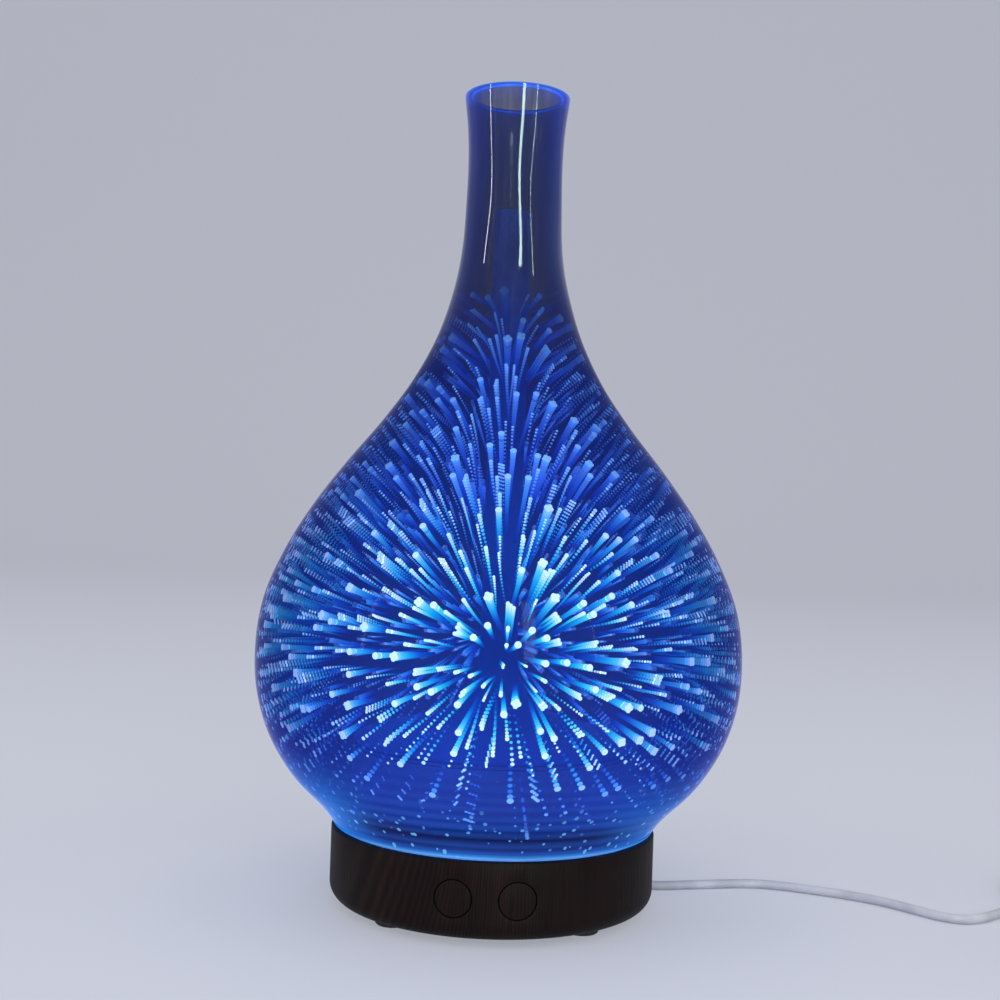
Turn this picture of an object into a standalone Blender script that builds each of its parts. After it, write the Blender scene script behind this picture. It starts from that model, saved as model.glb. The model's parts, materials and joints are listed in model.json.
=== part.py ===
"""An ultrasonic essential oil diffuser with a glass bulb cover, built as an assembly of separate pieces.

All sizes are in metres. +Z is up, the two buttons face -Y, and the origin is on the table under the
centre of the base. Every size is written once below, and what fits another piece is worked out from it.
"""

import math

import bmesh
import bpy
from mathutils import Matrix, Vector

# ---------------------------------------------------------------- driving dimensions
FIT_GAP = 0.0003  # what seated pieces keep between them
SINK = 0.0006  # how deep a boss or rib starts inside the wall that carries it
TURN_STEPS = 40  # facets round a large turned piece
RING_STEPS = 32  # facets round the coil and the clamp
LID_STEPS = 28  # facets round the inner cover
SMALL_STEPS = 20  # facets round a small turned piece
TINY_STEPS = 16  # facets round a screw, a post or a pin
CORNER_POINTS = 7  # points on the housing's rounded foot
FINE_STEPS = 24  # steps between two points of a smooth curve

# wood-grain housing of the base
HOUSING_RADIUS = 0.0430
HOUSING_WALL = 0.0022
HOUSING_HEIGHT = 0.0193
HOUSING_CORNER = 0.0045
HOUSING_EDGE = 0.0004
LIP_HEIGHT = 0.0008  # from the tank's flange up to the housing's top
FOOT_HEIGHT = 0.0016
FOOT_RADIUS = 0.0045
FOOT_INSET = 0.0002  # from the bottom cover's edge
FOOT_COUNT = 4
COVER_SEAT_DEPTH = 0.0017  # from the housing's underside up to the rim that the bottom cover meets
COVER_SEAT_HEIGHT = 0.0014
COVER_SEAT_REACH = 0.0015

# bottom cover
COVER_THICKNESS = 0.0012
VENT_COUNT = 4
VENT_WIDTH = 0.0016
VENT_LENGTH = 0.0150
VENT_PITCH = 0.0034
STANDOFF_RADIUS = 0.0018
STANDOFF_HEIGHT = 0.0015

# water tank
TANK_WALL = 0.0015
TANK_HEIGHT = 0.0218  # from the flange's top to the rim
TANK_BOWL_WALL = 0.0014
TANK_BOWL_DEPTH = 0.0016  # from the flange's top to the tank's floor
TANK_BOWL_STEP = 0.0002
TANK_FLOOR_THICKNESS = 0.0016
FLANGE_THICKNESS = 0.0010
LEDGE_REACH = 0.0014  # how far the housing's upper ledge stands in from its wall
SHELF_REACH = 0.0026  # how far the shelf for the light board stands in
SHELF_THICKNESS = 0.0009

# air duct, fan and gasket
FAN_ANGLE = math.radians(120.0)
FAN_SIDE = 0.0250
FAN_HEIGHT = 0.0070
FAN_BORE_RADIUS = 0.0116
FAN_HUB_RADIUS = 0.0055
FAN_PIN_RADIUS = 0.0009
FAN_SPIDER = 0.0010
FAN_ARM_WIDTH = 0.0020
FAN_ARMS = 3
FAN_BLADES = 7
FAN_BLADE_TILT = math.radians(38.0)
FAN_BLADE_THICKNESS = 0.0007
FAN_BLADE_SHARE = 0.69  # of the rotor's height
FAN_TIP_GAP = 0.0005
DUCT_RADIUS = 0.0060
DUCT_WALL = 0.0012
DUCT_BELOW_RIM = 0.0030
GASKET_RADIUS = 0.0095
GASKET_WALL = 0.0025

# ultrasonic transducer under the tank floor
TRANSDUCER_ANGLE = math.radians(219.0)
TRANSDUCER_RADIUS = 0.0080
TRANSDUCER_THICKNESS = 0.0009
TRANSDUCER_WINDOW = 0.0055
SEAL_LIP = 0.0006
SEAL_WALL = 0.0011
SEAL_BOTTOM_LIP = 0.0009
CLAMP_THICKNESS = 0.0014
CLAMP_BOSS_RADIUS = 0.0018
CLAMP_EAR = 0.0018
CLAMP_SCREW_COUNT = 3

# screws
SCREW_RADIUS = 0.0009
SCREW_HEAD_RADIUS = 0.0018
SCREW_HEAD_HEIGHT = 0.0010
SCREW_SLOT_WIDTH = 0.0005
SCREW_SLOT_DEPTH = 0.0004
SCREW_TIP_SHARE = 0.6  # of the screw's radius
SCREW_CROWN_SHARE = 0.7  # of the head's radius
COVER_SCREW_LENGTH = 0.0075
CLAMP_SCREW_LENGTH = 0.0042
COVER_POST_RADIUS = 0.0024
COVER_POST_INSET = 0.0010  # from the tank's bowl
COVER_POST_ANGLES = (-5.0, 60.0, 175.0, 258.0)

# lights
LED_COUNT = 8
LED_SIDE = 0.0035
LED_THICKNESS = 0.0008
LED_BOARD_THICKNESS = 0.0008
LED_BOARD_WIDTH = 0.0064

# glass cover, its seat and the inner cover with the mist tube
GLASS_WALL = 0.0022
GLASS_HEIGHT = 0.1945
GLASS_FOOT_STEP = 0.0003  # how far the foot's outside stands out over the housing's bore
GLASS_BELLY = 0.0645
GLASS_BELLY_HEIGHT = 0.0455  # over the glass's foot, as the next height
GLASS_NECK = 0.0127
GLASS_NECK_HEIGHT = 0.1665
GLASS_MOUTH = 0.0142
GLASS_SAMPLES = 21
SEAT_HEIGHT = 0.0007
SEAT_WIDTH = 0.0020
INNER_COVER_WALL = 0.0012
INNER_COVER_RISE = 0.0100
INNER_SKIRT_DEPTH = 0.0035
MIST_TUBE_RADIUS = 0.0050
MIST_TUBE_BELOW_MOUTH = 0.0310
# the tube's flare into the lid: radius, and height over the crown, both in tube radii
MIST_TUBE_FLARE = ((1.0, 3.0), (1.12, 1.5), (1.7, 0.4), (2.8, -0.4))
LID_SHOULDER = (0.60, 0.52)  # shares of the tank's radius and of the lid's rise
LID_EDGE = (0.92, 0.20)
LID_RIM_HEIGHT = 0.0007
INNER_SEAL_HEIGHT = 0.0007

# buttons
BUTTON_DROP = 0.0090  # from the housing's top down to a button's centre
BUTTON_OFFSET = 0.00776  # from the middle plane
BUTTON_RADIUS = 0.0044
BUTTON_FLANGE = 0.0008
BUTTON_FLANGE_REACH = 0.0006
BUTTON_TRAVEL = 0.0005
SWITCH_SIDE = 0.0045
SWITCH_DEPTH = 0.0023
PLUNGER_RADIUS = 0.0016
PLUNGER_LENGTH = 0.0016
BUTTON_BOARD_THICKNESS = 0.0010
BUTTON_BOARD_WIDTH = 0.0250
BUTTON_BOARD_RISE = 0.0042  # over the buttons' centre

# main board
BOARD_X = 0.0110
BOARD_Y = -0.0175
BOARD_LENGTH = 0.0260
BOARD_WIDTH = 0.0160
BOARD_THICKNESS = 0.0012
STANDOFF_INSET = 0.0025
INDUCTOR_PLACE = (0.30, 0.20)  # shares of the board's length and width, from its middle, as the next three
CAPACITOR_PLACE = (0.02, 0.25)
TRANSISTOR_PLACE = (0.12, -0.26)
HEADER_PLACE = (-0.30, -0.10)
INDUCTOR_RADIUS = 0.0035
INDUCTOR_HEIGHT = 0.0052
INDUCTOR_WAIST = 0.0028
INDUCTOR_RIM = 0.0010
CAPACITOR_RADIUS = 0.0025
CAPACITOR_HEIGHT = 0.0060
CAPACITOR_EDGE = 0.0004
CAPACITOR_GROOVE = 0.0012
TRANSISTOR_SIZE = (0.0090, 0.0065, 0.0030)
HEADER_SIZE = (0.0080, 0.0040, 0.0050)
HEADER_WALL = 0.0009

# power socket in a channel under the base, its plug and the lead
CHANNEL_ANGLE = math.radians(22.0)
CHANNEL_WIDTH = 0.0088
CHANNEL_WALL = 0.0012
CHANNEL_HEADROOM = 0.0036  # over the plug's axis
CHANNEL_START = 0.0092
LEAD_HEADROOM = 0.0012  # over the plug's axis
LEAD_SLOT_WIDTH = 0.0040
NOTCH_HEIGHT = 0.0041
SOCKET_LENGTH = 0.0117
SOCKET_WIDTH = 0.0070
SOCKET_HEIGHT = 0.0060
BARREL_RADIUS = 0.00175
BARREL_LENGTH = 0.0085
PLUG_RADIUS = 0.0030
PLUG_LENGTH = 0.0115
RELIEF_LENGTH = 0.0075
RELIEF_RADIUS = 0.0017
RELIEF_ROOT_SHARE = 0.78  # of the plug's radius
RELIEF_RIBS = 3
RIB_SHARE = 0.12  # a rib's length, of the strain relief's
CORD_DIAMETER = 0.0025
CORD_POINT_SPACING = 2.2  # in diameters
TAIL_POINTS = 5
COIL_X = 0.1700
COIL_Y = 0.0260
COIL_RADIUS = 0.0150  # middle of the turns
COIL_WIDTH = 0.0125
COIL_HEIGHT = 0.0069
TIE_THICKNESS = 0.0005
TIE_WIDTH = 0.0040
TIE_CLEARANCE = 0.0006
TIE_ANGLE = math.radians(205.0)

# wall adapter at the far end of the lead
ADAPTER_FROM_COIL = (0.0170, -0.0400)  # from the coil's middle to the middle of the end that the lead enters
ADAPTER_LENGTH = 0.0540
ADAPTER_WIDTH = 0.0420
ADAPTER_HEIGHT = 0.0270
ADAPTER_EDGE = 0.0025
ADAPTER_RELIEF_LENGTH = 0.0130
ADAPTER_RELIEF_RADIUS = 0.0032
ADAPTER_RELIEF_TIP_RADIUS = 0.0019
ADAPTER_RELIEF_NECK = (0.0026, 0.0033)  # radius, and distance from the adapter
ADAPTER_RELIEF_COLLAR = 0.0026
PIN_SPACING = 0.0127
PIN_WIDTH = 0.0063
PIN_THICKNESS = 0.0015
PIN_LENGTH = 0.0160
PIN_INSET = 0.0170  # pins from the far end of the adapter
PIN_FOOT = 0.0040  # how deep a pin is set in the body
PIN_EDGE = 0.0003

# the lead's centreline where it lies on the table, from the plug to the coil
CORD_ON_TABLE = (
    (0.0525, 0.0205),
    (0.0594, 0.0223),
    (0.0660, 0.0241),
    (0.0714, 0.0252),
    (0.0775, 0.0252),
    (0.0843, 0.0235),
    (0.0915, 0.0207),
    (0.0980, 0.0179),
    (0.1042, 0.0143),
    (0.1101, 0.0096),
    (0.1154, 0.0039),
    (0.1204, -0.0008),
    (0.1252, -0.0025),
    (0.1299, -0.0009),
    (0.1343, 0.0025),
    (0.1388, 0.0070),
    (0.1427, 0.0130),
    (0.1457, 0.0200),
    (0.1471, 0.0290),
    (0.1504, 0.0383),
)
# its descent from the plug to the table: distance from the axis along the channel, and height
CORD_DESCENT = (
    (0.0315, 0.00635),
    (0.0340, 0.00595),
    (0.0375, 0.00500),
    (0.0415, 0.00350),
    (0.0455, 0.00205),
    (0.0495, 0.00140),
)
# the glass outline as shares of the radius and of the height: from the foot to the belly,
GLASS_LOWER = ((0.038, 0.037), (0.145, 0.088), (0.551, 0.292), (0.838, 0.539), (0.970, 0.771))
# from the belly to the neck's narrowest place,
GLASS_UPPER = (
    (0.035, 0.112),
    (0.127, 0.212),
    (0.261, 0.311),
    (0.429, 0.410),
    (0.614, 0.509),
    (0.772, 0.608),
    (0.871, 0.694),
    (0.936, 0.785),
    (0.983, 0.884),
)
# and from there to the mouth
GLASS_LIP = ((0.067, 0.50), (0.40, 0.75))

# ---------------------------------------------------------------- sizes that follow from the ones above
COVER_BOTTOM = FOOT_HEIGHT + FIT_GAP
COVER_TOP = COVER_BOTTOM + COVER_THICKNESS
COVER_SEAT = COVER_TOP + FIT_GAP
DECK = COVER_TOP + FIT_GAP  # what stands on the bottom cover starts here
BASE_LIFT = COVER_SEAT - COVER_SEAT_DEPTH
HOUSING_TOP = BASE_LIFT + HOUSING_HEIGHT
HOUSING_BORE = HOUSING_RADIUS - HOUSING_WALL
COVER_OPENING = HOUSING_RADIUS - HOUSING_CORNER
COVER_RADIUS = COVER_OPENING - FIT_GAP
DECK_RADIUS = COVER_OPENING - COVER_SEAT_REACH - FIT_GAP  # what stands on the bottom cover keeps inside this
FOOT_CIRCLE = COVER_RADIUS - FOOT_RADIUS - FOOT_INSET
FLANGE_TOP = HOUSING_TOP - LIP_HEIGHT
FLANGE_BOTTOM = FLANGE_TOP - FLANGE_THICKNESS
LEDGE_TOP = FLANGE_BOTTOM - FIT_GAP
FLANGE_RADIUS = HOUSING_BORE - FIT_GAP
LED_TOP = FLANGE_BOTTOM - FIT_GAP
LED_BOARD_TOP = LED_TOP - LED_THICKNESS - FIT_GAP
LED_BOARD_BOTTOM = LED_BOARD_TOP - LED_BOARD_THICKNESS
LED_BOARD_OUTER = HOUSING_BORE - LEDGE_REACH - FIT_GAP
LED_BOARD_INNER = LED_BOARD_OUTER - LED_BOARD_WIDTH
SHELF_TOP = LED_BOARD_BOTTOM - FIT_GAP
SHELF_BOTTOM = SHELF_TOP - SHELF_THICKNESS
TANK_RADIUS = FLANGE_RADIUS - SEAT_WIDTH - FIT_GAP
TANK_RIM = FLANGE_TOP + TANK_HEIGHT
TANK_BOWL_RADIUS = LED_BOARD_INNER - FIT_GAP
TANK_FLOOR = FLANGE_TOP - TANK_BOWL_DEPTH
TANK_UNDERSIDE = TANK_FLOOR - TANK_FLOOR_THICKNESS
SEAT_BOTTOM = FLANGE_TOP + FIT_GAP
GLASS_BOTTOM = SEAT_BOTTOM + SEAT_HEIGHT + FIT_GAP
GLASS_TOP = GLASS_BOTTOM + GLASS_HEIGHT
GLASS_FOOT = HOUSING_BORE + GLASS_FOOT_STEP
INNER_SEAL_BOTTOM = TANK_RIM + FIT_GAP
INNER_COVER_SEAT = INNER_SEAL_BOTTOM + INNER_SEAL_HEIGHT + FIT_GAP
INNER_COVER_CROWN = INNER_COVER_SEAT + INNER_COVER_RISE
MIST_TUBE_TOP = GLASS_TOP - MIST_TUBE_BELOW_MOUTH
SEAL_TOP = TANK_UNDERSIDE - FIT_GAP
DISC_TOP = SEAL_TOP - SEAL_LIP - FIT_GAP
DISC_BOTTOM = DISC_TOP - TRANSDUCER_THICKNESS
SEAL_INNER = TRANSDUCER_RADIUS + FIT_GAP
SEAL_OUTER = SEAL_INNER + SEAL_WALL
SEAL_BOTTOM = DISC_BOTTOM - FIT_GAP - SEAL_BOTTOM_LIP
CLAMP_TOP = SEAL_BOTTOM - FIT_GAP
CLAMP_BOTTOM = CLAMP_TOP - CLAMP_THICKNESS
CLAMP_SCREW_CIRCLE = SEAL_OUTER + FIT_GAP + CLAMP_BOSS_RADIUS
CLAMP_RADIUS = CLAMP_SCREW_CIRCLE + CLAMP_EAR
TRANSDUCER_CIRCLE = TANK_BOWL_RADIUS - CLAMP_RADIUS
TRANSDUCER_X = TRANSDUCER_CIRCLE * math.cos(TRANSDUCER_ANGLE)
TRANSDUCER_Y = TRANSDUCER_CIRCLE * math.sin(TRANSDUCER_ANGLE)
BORE_RADIUS = SCREW_RADIUS + FIT_GAP
COVER_POST_CIRCLE = TANK_BOWL_RADIUS - COVER_POST_RADIUS - COVER_POST_INSET
FAN_CIRCLE = math.sqrt(DECK_RADIUS**2 - (FAN_SIDE / 2) ** 2) - FAN_SIDE / 2
FAN_X = FAN_CIRCLE * math.cos(FAN_ANGLE)
FAN_Y = FAN_CIRCLE * math.sin(FAN_ANGLE)
FAN_TOP = DECK + FAN_HEIGHT
DUCT_TOP = TANK_RIM - DUCT_BELOW_RIM
SOCKET_AXIS = DECK + SOCKET_HEIGHT / 2
CHANNEL_ROOF = SOCKET_AXIS + CHANNEL_HEADROOM
CHANNEL_MOUTH_HEIGHT = SOCKET_AXIS + LEAD_HEADROOM
NOTCH_TOP = BASE_LIFT + NOTCH_HEIGHT
PLUG_FRONT = CHANNEL_START + FIT_GAP
RELIEF_END = PLUG_FRONT + PLUG_LENGTH + RELIEF_LENGTH
BOARD_BOTTOM = COVER_TOP + STANDOFF_HEIGHT + FIT_GAP
BOARD_TOP = BOARD_BOTTOM + BOARD_THICKNESS
PART_ON_BOARD = BOARD_TOP + FIT_GAP
COIL_LIFT = TIE_THICKNESS + FIT_GAP
COIL_OUTER = COIL_RADIUS + COIL_WIDTH / 2
COIL_INNER = COIL_RADIUS - COIL_WIDTH / 2
COIL_TOP = COIL_LIFT + COIL_HEIGHT
ADAPTER_X = COIL_X + ADAPTER_FROM_COIL[0]
ADAPTER_END = COIL_Y + ADAPTER_FROM_COIL[1]
LEAD_HEIGHT_AT_ADAPTER = COIL_TOP - CORD_DIAMETER / 2
ADAPTER_RELIEF_END = ADAPTER_END + ADAPTER_RELIEF_LENGTH
BUTTON_HEIGHT = HOUSING_TOP - BUTTON_DROP
BUTTON_BOARD_TOP = BUTTON_HEIGHT + BUTTON_BOARD_RISE
# how deep behind the housing's face a button's flange clears the round wall
BUTTON_SPAN = BUTTON_OFFSET + BUTTON_RADIUS + BUTTON_FLANGE_REACH
BUTTON_BACK = -math.sqrt(HOUSING_BORE**2 - BUTTON_SPAN**2) + FIT_GAP + BUTTON_FLANGE
PLUNGER_FRONT = BUTTON_BACK + FIT_GAP
SWITCH_FRONT = PLUNGER_FRONT + BUTTON_TRAVEL + FIT_GAP
SWITCH_BACK = SWITCH_FRONT + SWITCH_DEPTH
BUTTON_BOARD_FRONT = SWITCH_BACK + FIT_GAP


# ---------------------------------------------------------------- helpers
def clear_scene():
    """Remove what the scene holds."""
    for item in list(bpy.data.objects):
        bpy.data.objects.remove(item)


def make_collection(name):
    """Return a new collection linked to the scene."""
    collection = bpy.data.collections.new(name)
    bpy.context.scene.collection.children.link(collection)
    return collection


def make_material(name, color, roughness, metallic=0.0):
    """Return a Principled material."""
    material = bpy.data.materials.new(name)
    material.use_nodes = True
    shader = material.node_tree.nodes["Principled BSDF"]
    shader.inputs["Base Color"].default_value = (*color, 1.0)
    shader.inputs["Roughness"].default_value = roughness
    shader.inputs["Metallic"].default_value = metallic
    return material


def part_from_bmesh(name, shape, material):
    """Turn a bmesh into a named part."""
    mesh = bpy.data.meshes.new(name)
    shape.to_mesh(mesh)
    shape.free()
    part = bpy.data.objects.new(name, mesh)
    PARTS.objects.link(part)
    if material:
        mesh.materials.append(material)
    return part


def turned(name, outline, material, steps=SMALL_STEPS, closed=True):
    """A turned piece: outline points (radius, height) run down the outer side and back up inside."""
    mesh = bpy.data.meshes.new(name)
    points = [(radius, 0.0, height) for radius, height in outline]
    edges = [(i, i + 1) for i in range(len(points) - 1)]
    if closed:
        edges.append((len(points) - 1, 0))
    mesh.from_pydata(points, edges, [])
    part = bpy.data.objects.new(name, mesh)
    PARTS.objects.link(part)
    mesh.materials.append(material)
    screw = part.modifiers.new("turn", "SCREW")
    screw.angle = math.tau
    screw.steps = steps
    screw.render_steps = steps
    screw.use_merge_vertices = True
    screw.merge_threshold = 0.00001
    screw.use_smooth_shade = True
    return part


def ring(name, inner, outer, bottom, top, material, steps=SMALL_STEPS):
    """A plain turned ring."""
    outline = [(inner, top), (outer, top), (outer, bottom), (inner, bottom)]
    return turned(name, outline, material, steps)


def block(name, size, center, material, edge=0.0):
    """A box with its size along X, Y and Z, and bevelled edges if edge is given."""
    shape = bmesh.new()
    bmesh.ops.create_cube(shape, size=1.0)
    bmesh.ops.scale(shape, vec=Vector(size), verts=shape.verts)
    part = part_from_bmesh(name, shape, material)
    part.location = center
    if edge:
        bevel = part.modifiers.new("edges", "BEVEL")
        bevel.width = edge
        bevel.segments = 2
    return part


def rod(name, radius, length, material=None, steps=SMALL_STEPS):
    """A cylinder along Z, centred on its own origin."""
    shape = bmesh.new()
    bmesh.ops.create_cone(
        shape,
        cap_ends=True,
        segments=steps,
        radius1=radius,
        radius2=radius,
        depth=length,
    )
    return part_from_bmesh(name, shape, material)


def upright_rod(name, radius, bottom, top, x, y, steps=SMALL_STEPS):
    """A cylinder standing at x, y between two heights."""
    part = rod(name, radius, top - bottom, None, steps)
    part.location = (x, y, (bottom + top) / 2)
    return part


def as_cutter(part):
    """Take a shape out of the parts: it only cuts or joins."""
    PARTS.objects.unlink(part)
    CUTTERS.objects.link(part)
    part.hide_render = True
    part.display_type = "WIRE"
    return part


def combine(part, tool, operation):
    """Cut the tool from the part, or join it on."""
    as_cutter(tool)
    change = part.modifiers.new(tool.name, "BOOLEAN")
    change.operation = operation
    change.solver = "EXACT"
    change.object = tool


def cut(part, tool):
    """Cut the tool's shape out of the part."""
    combine(part, tool, "DIFFERENCE")


def join(part, tool):
    """Join the tool's shape to the part."""
    combine(part, tool, "UNION")


def along_channel(distance, side=0.0, height=0.0):
    """A place in the lead's channel: distance from the axis, to its left, and over the table."""
    direction = Vector((math.cos(CHANNEL_ANGLE), math.sin(CHANNEL_ANGLE), 0.0))
    left = Vector((-direction.y, direction.x, 0.0))
    return direction * distance + left * side + Vector((0.0, 0.0, height))


def lay_along_channel(part, distance, height):
    """Turn a piece made along Z so that it lies in the channel, its foot at the distance given."""
    part.location = along_channel(distance, 0.0, height)
    part.rotation_euler = (0.0, math.pi / 2, CHANNEL_ANGLE)
    return part


def channel_block(name, start, end, width, bottom, top, material=None):
    """A box that runs along the channel."""
    middle = (start + end) / 2
    part = block(name, (end - start, width, top - bottom), (0, 0, 0), material)
    part.location = along_channel(middle, 0.0, (bottom + top) / 2)
    part.rotation_euler = (0.0, 0.0, CHANNEL_ANGLE)
    return part


def arc(center, radius, start, end, count):
    """Points on an arc, both ends included, angles in degrees."""
    angles = [math.radians(start + (end - start) * i / (count - 1)) for i in range(count)]
    return [(center[0] + radius * math.cos(a), center[1] + radius * math.sin(a)) for a in angles]


def smooth_through(points, count):
    """Evenly spaced points on a smooth curve through the given ones."""
    spots = [Vector(p) for p in points]
    spots = [2 * spots[0] - spots[1], *spots, 2 * spots[-1] - spots[-2]]
    fine = []
    for before, start, end, after in zip(spots, spots[1:], spots[2:], spots[3:]):
        span = (end - start).length
        slope_start = (end - before) * span / ((start - before).length + span)
        slope_end = (after - start) * span / ((after - end).length + span)
        for step in range(FINE_STEPS):
            t = step / FINE_STEPS
            fine.append(
                start * (2 * t**3 - 3 * t**2 + 1)
                + slope_start * (t**3 - 2 * t**2 + t)
                + end * (3 * t**2 - 2 * t**3)
                + slope_end * (t**3 - t**2)
            )
    fine.append(spots[-2])
    reach = [0.0]
    for a, b in zip(fine, fine[1:]):
        reach.append(reach[-1] + (b - a).length)
    even = []
    place = 0
    for i in range(count):
        target = reach[-1] * i / (count - 1)
        while place < len(fine) - 2 and reach[place + 1] < target:
            place += 1
        share = (target - reach[place]) / (reach[place + 1] - reach[place])
        even.append(fine[place].lerp(fine[place + 1], min(max(share, 0.0), 1.0)))
    return even


def set_in(outline, wall):
    """The inner points of a turned outline that runs down outside, moved in by the wall, square to it."""
    moved = []
    for before, point, after in zip(outline, outline[1:], outline[2:]):
        along = (Vector(after) - Vector(before)).normalized()
        moved.append((point[0] + along.y * wall, point[1] - along.x * wall))
    return moved


def between(start, end, shares):
    """Points between two, at the given shares of the way in radius and in height."""
    return [(start[0] + (end[0] - start[0]) * a, start[1] + (end[1] - start[1]) * b) for a, b in shares]


def tube(name, points, radius, material):
    """A round tube along the points, with closed ends."""
    curve = bpy.data.curves.new(name, "CURVE")
    curve.dimensions = "3D"
    spline = curve.splines.new("POLY")
    spline.points.add(len(points) - 1)
    for point, spot in zip(spline.points, points):
        point.co = (*spot, 1.0)
    curve.bevel_depth = radius
    curve.bevel_resolution = 2
    curve.use_fill_caps = True
    curve.materials.append(material)
    part = bpy.data.objects.new(name, curve)
    PARTS.objects.link(part)
    return part


def round_places(count, circle, first=0.0):
    """Places on a circle, and their angles."""
    angles = [first + math.tau * i / count for i in range(count)]
    return [(circle * math.cos(a), circle * math.sin(a), a) for a in angles]


def post_places():
    """Where the four posts under the tank stand."""
    angles = [math.radians(a) for a in COVER_POST_ANGLES]
    return [(COVER_POST_CIRCLE * math.cos(a), COVER_POST_CIRCLE * math.sin(a)) for a in angles]


def clamp_places():
    """Where the three clamp screws stand round the transducer."""
    toward_axis = math.atan2(-TRANSDUCER_Y, -TRANSDUCER_X)
    places = round_places(CLAMP_SCREW_COUNT, CLAMP_SCREW_CIRCLE, toward_axis)
    return [(TRANSDUCER_X + x, TRANSDUCER_Y + y) for x, y, _ in places]


# ---------------------------------------------------------------- base
def make_housing(material):
    """Wood-grain housing: a round wall with a curled-in foot and two inner ledges."""
    corner = arc((COVER_OPENING, BASE_LIFT + HOUSING_CORNER), HOUSING_CORNER, 0, -90, CORNER_POINTS)
    seat_inner = COVER_OPENING - COVER_SEAT_REACH
    seat_top = COVER_SEAT + COVER_SEAT_HEIGHT
    ledge = HOUSING_BORE - LEDGE_REACH
    shelf = HOUSING_BORE - SHELF_REACH
    outline = [
        (HOUSING_BORE, HOUSING_TOP),
        (HOUSING_RADIUS - HOUSING_EDGE, HOUSING_TOP),
        (HOUSING_RADIUS, HOUSING_TOP - HOUSING_EDGE),
        *corner,
        (COVER_OPENING, COVER_SEAT),
        (seat_inner, COVER_SEAT),
        (seat_inner, seat_top),
        (HOUSING_BORE, seat_top),
        (HOUSING_BORE, SHELF_BOTTOM - SHELF_THICKNESS),
        (shelf, SHELF_BOTTOM),
        (shelf, SHELF_TOP),
        (ledge, SHELF_TOP),
        (ledge, LEDGE_TOP),
        (HOUSING_BORE, LEDGE_TOP),
    ]
    housing = turned("housing", outline, material, TURN_STEPS)
    hole_back = BUTTON_BACK + SHELF_REACH
    hole_front = -HOUSING_RADIUS - HOUSING_WALL
    for side in (-1, 1):
        hole = rod(f"button_hole_{side}", BUTTON_RADIUS + FIT_GAP, hole_back - hole_front)
        hole.location = (side * BUTTON_OFFSET, (hole_front + hole_back) / 2, BUTTON_HEIGHT)
        hole.rotation_euler = (math.pi / 2, 0.0, 0.0)
        cut(housing, hole)
        room_radius = BUTTON_RADIUS + BUTTON_FLANGE_REACH + FIT_GAP
        room_front = BUTTON_BACK - BUTTON_FLANGE - FIT_GAP
        room = rod(f"flange_room_{side}", room_radius, hole_back - room_front)
        room.location = (side * BUTTON_OFFSET, (room_front + hole_back) / 2, BUTTON_HEIGHT)
        room.rotation_euler = (math.pi / 2, 0.0, 0.0)
        cut(housing, room)
    notch = channel_block(
        "lead_notch",
        COVER_OPENING - 2 * COVER_SEAT_REACH,
        HOUSING_RADIUS + HOUSING_WALL,
        LEAD_SLOT_WIDTH,
        BASE_LIFT - HOUSING_WALL,
        NOTCH_TOP,
    )
    cut(housing, notch)
    return housing


def make_bottom_cover(material):
    """Bottom cover: a thin plate with the lead's channel, vents, standoffs and screw holes."""
    outline = [
        (0.0, COVER_TOP),
        (COVER_RADIUS, COVER_TOP),
        (COVER_RADIUS, COVER_BOTTOM),
        (0.0, COVER_BOTTOM),
    ]
    cover = turned("bottom_cover", outline, material, TURN_STEPS, closed=False)
    tunnel_end = math.sqrt(DECK_RADIUS**2 - (CHANNEL_WIDTH / 2 + CHANNEL_WALL) ** 2)
    tunnel_inside = tunnel_end - CHANNEL_WALL
    tunnel = channel_block(
        "channel_walls",
        CHANNEL_START - CHANNEL_WALL,
        tunnel_end,
        CHANNEL_WIDTH + 2 * CHANNEL_WALL,
        COVER_TOP - SINK,
        CHANNEL_ROOF + CHANNEL_WALL,
    )
    join(cover, tunnel)
    for i, (x, y) in enumerate(board_corners()):
        top = COVER_TOP + STANDOFF_HEIGHT
        join(cover, upright_rod(f"standoff_{i}", STANDOFF_RADIUS, COVER_TOP - SINK, top, x, y, TINY_STEPS))
    below = COVER_BOTTOM - COVER_THICKNESS
    inside = channel_block(
        "channel_space", CHANNEL_START, tunnel_inside, CHANNEL_WIDTH, below, CHANNEL_ROOF
    )
    cut(cover, inside)
    mouth = channel_block(
        "channel_mouth",
        tunnel_inside - SINK,
        COVER_RADIUS + COVER_THICKNESS,
        LEAD_SLOT_WIDTH,
        below,
        CHANNEL_MOUTH_HEIGHT,
    )
    cut(cover, mouth)
    barrel_way = rod("barrel_way", BARREL_RADIUS + 2 * FIT_GAP, 4 * CHANNEL_WALL, None, TINY_STEPS)
    lay_along_channel(barrel_way, CHANNEL_START - CHANNEL_WALL / 2, SOCKET_AXIS)
    cut(cover, barrel_way)
    for i, (x, y) in enumerate(post_places()):
        cut(cover, upright_rod(f"cover_screw_hole_{i}", BORE_RADIUS, below, DECK, x, y, TINY_STEPS))
    for i in range(VENT_COUNT):
        slot = block(f"vent_{i}", (VENT_LENGTH, VENT_WIDTH, 3 * COVER_THICKNESS), (0, 0, 0), None)
        offset = (i - (VENT_COUNT - 1) / 2) * VENT_PITCH
        outward = Vector((math.cos(FAN_ANGLE), math.sin(FAN_ANGLE), 0.0))
        slot.location = outward * (FAN_CIRCLE + offset) + Vector((0.0, 0.0, COVER_TOP))
        slot.rotation_euler = (0.0, 0.0, FAN_ANGLE + math.pi / 2)
        cut(cover, slot)
    return cover


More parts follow.
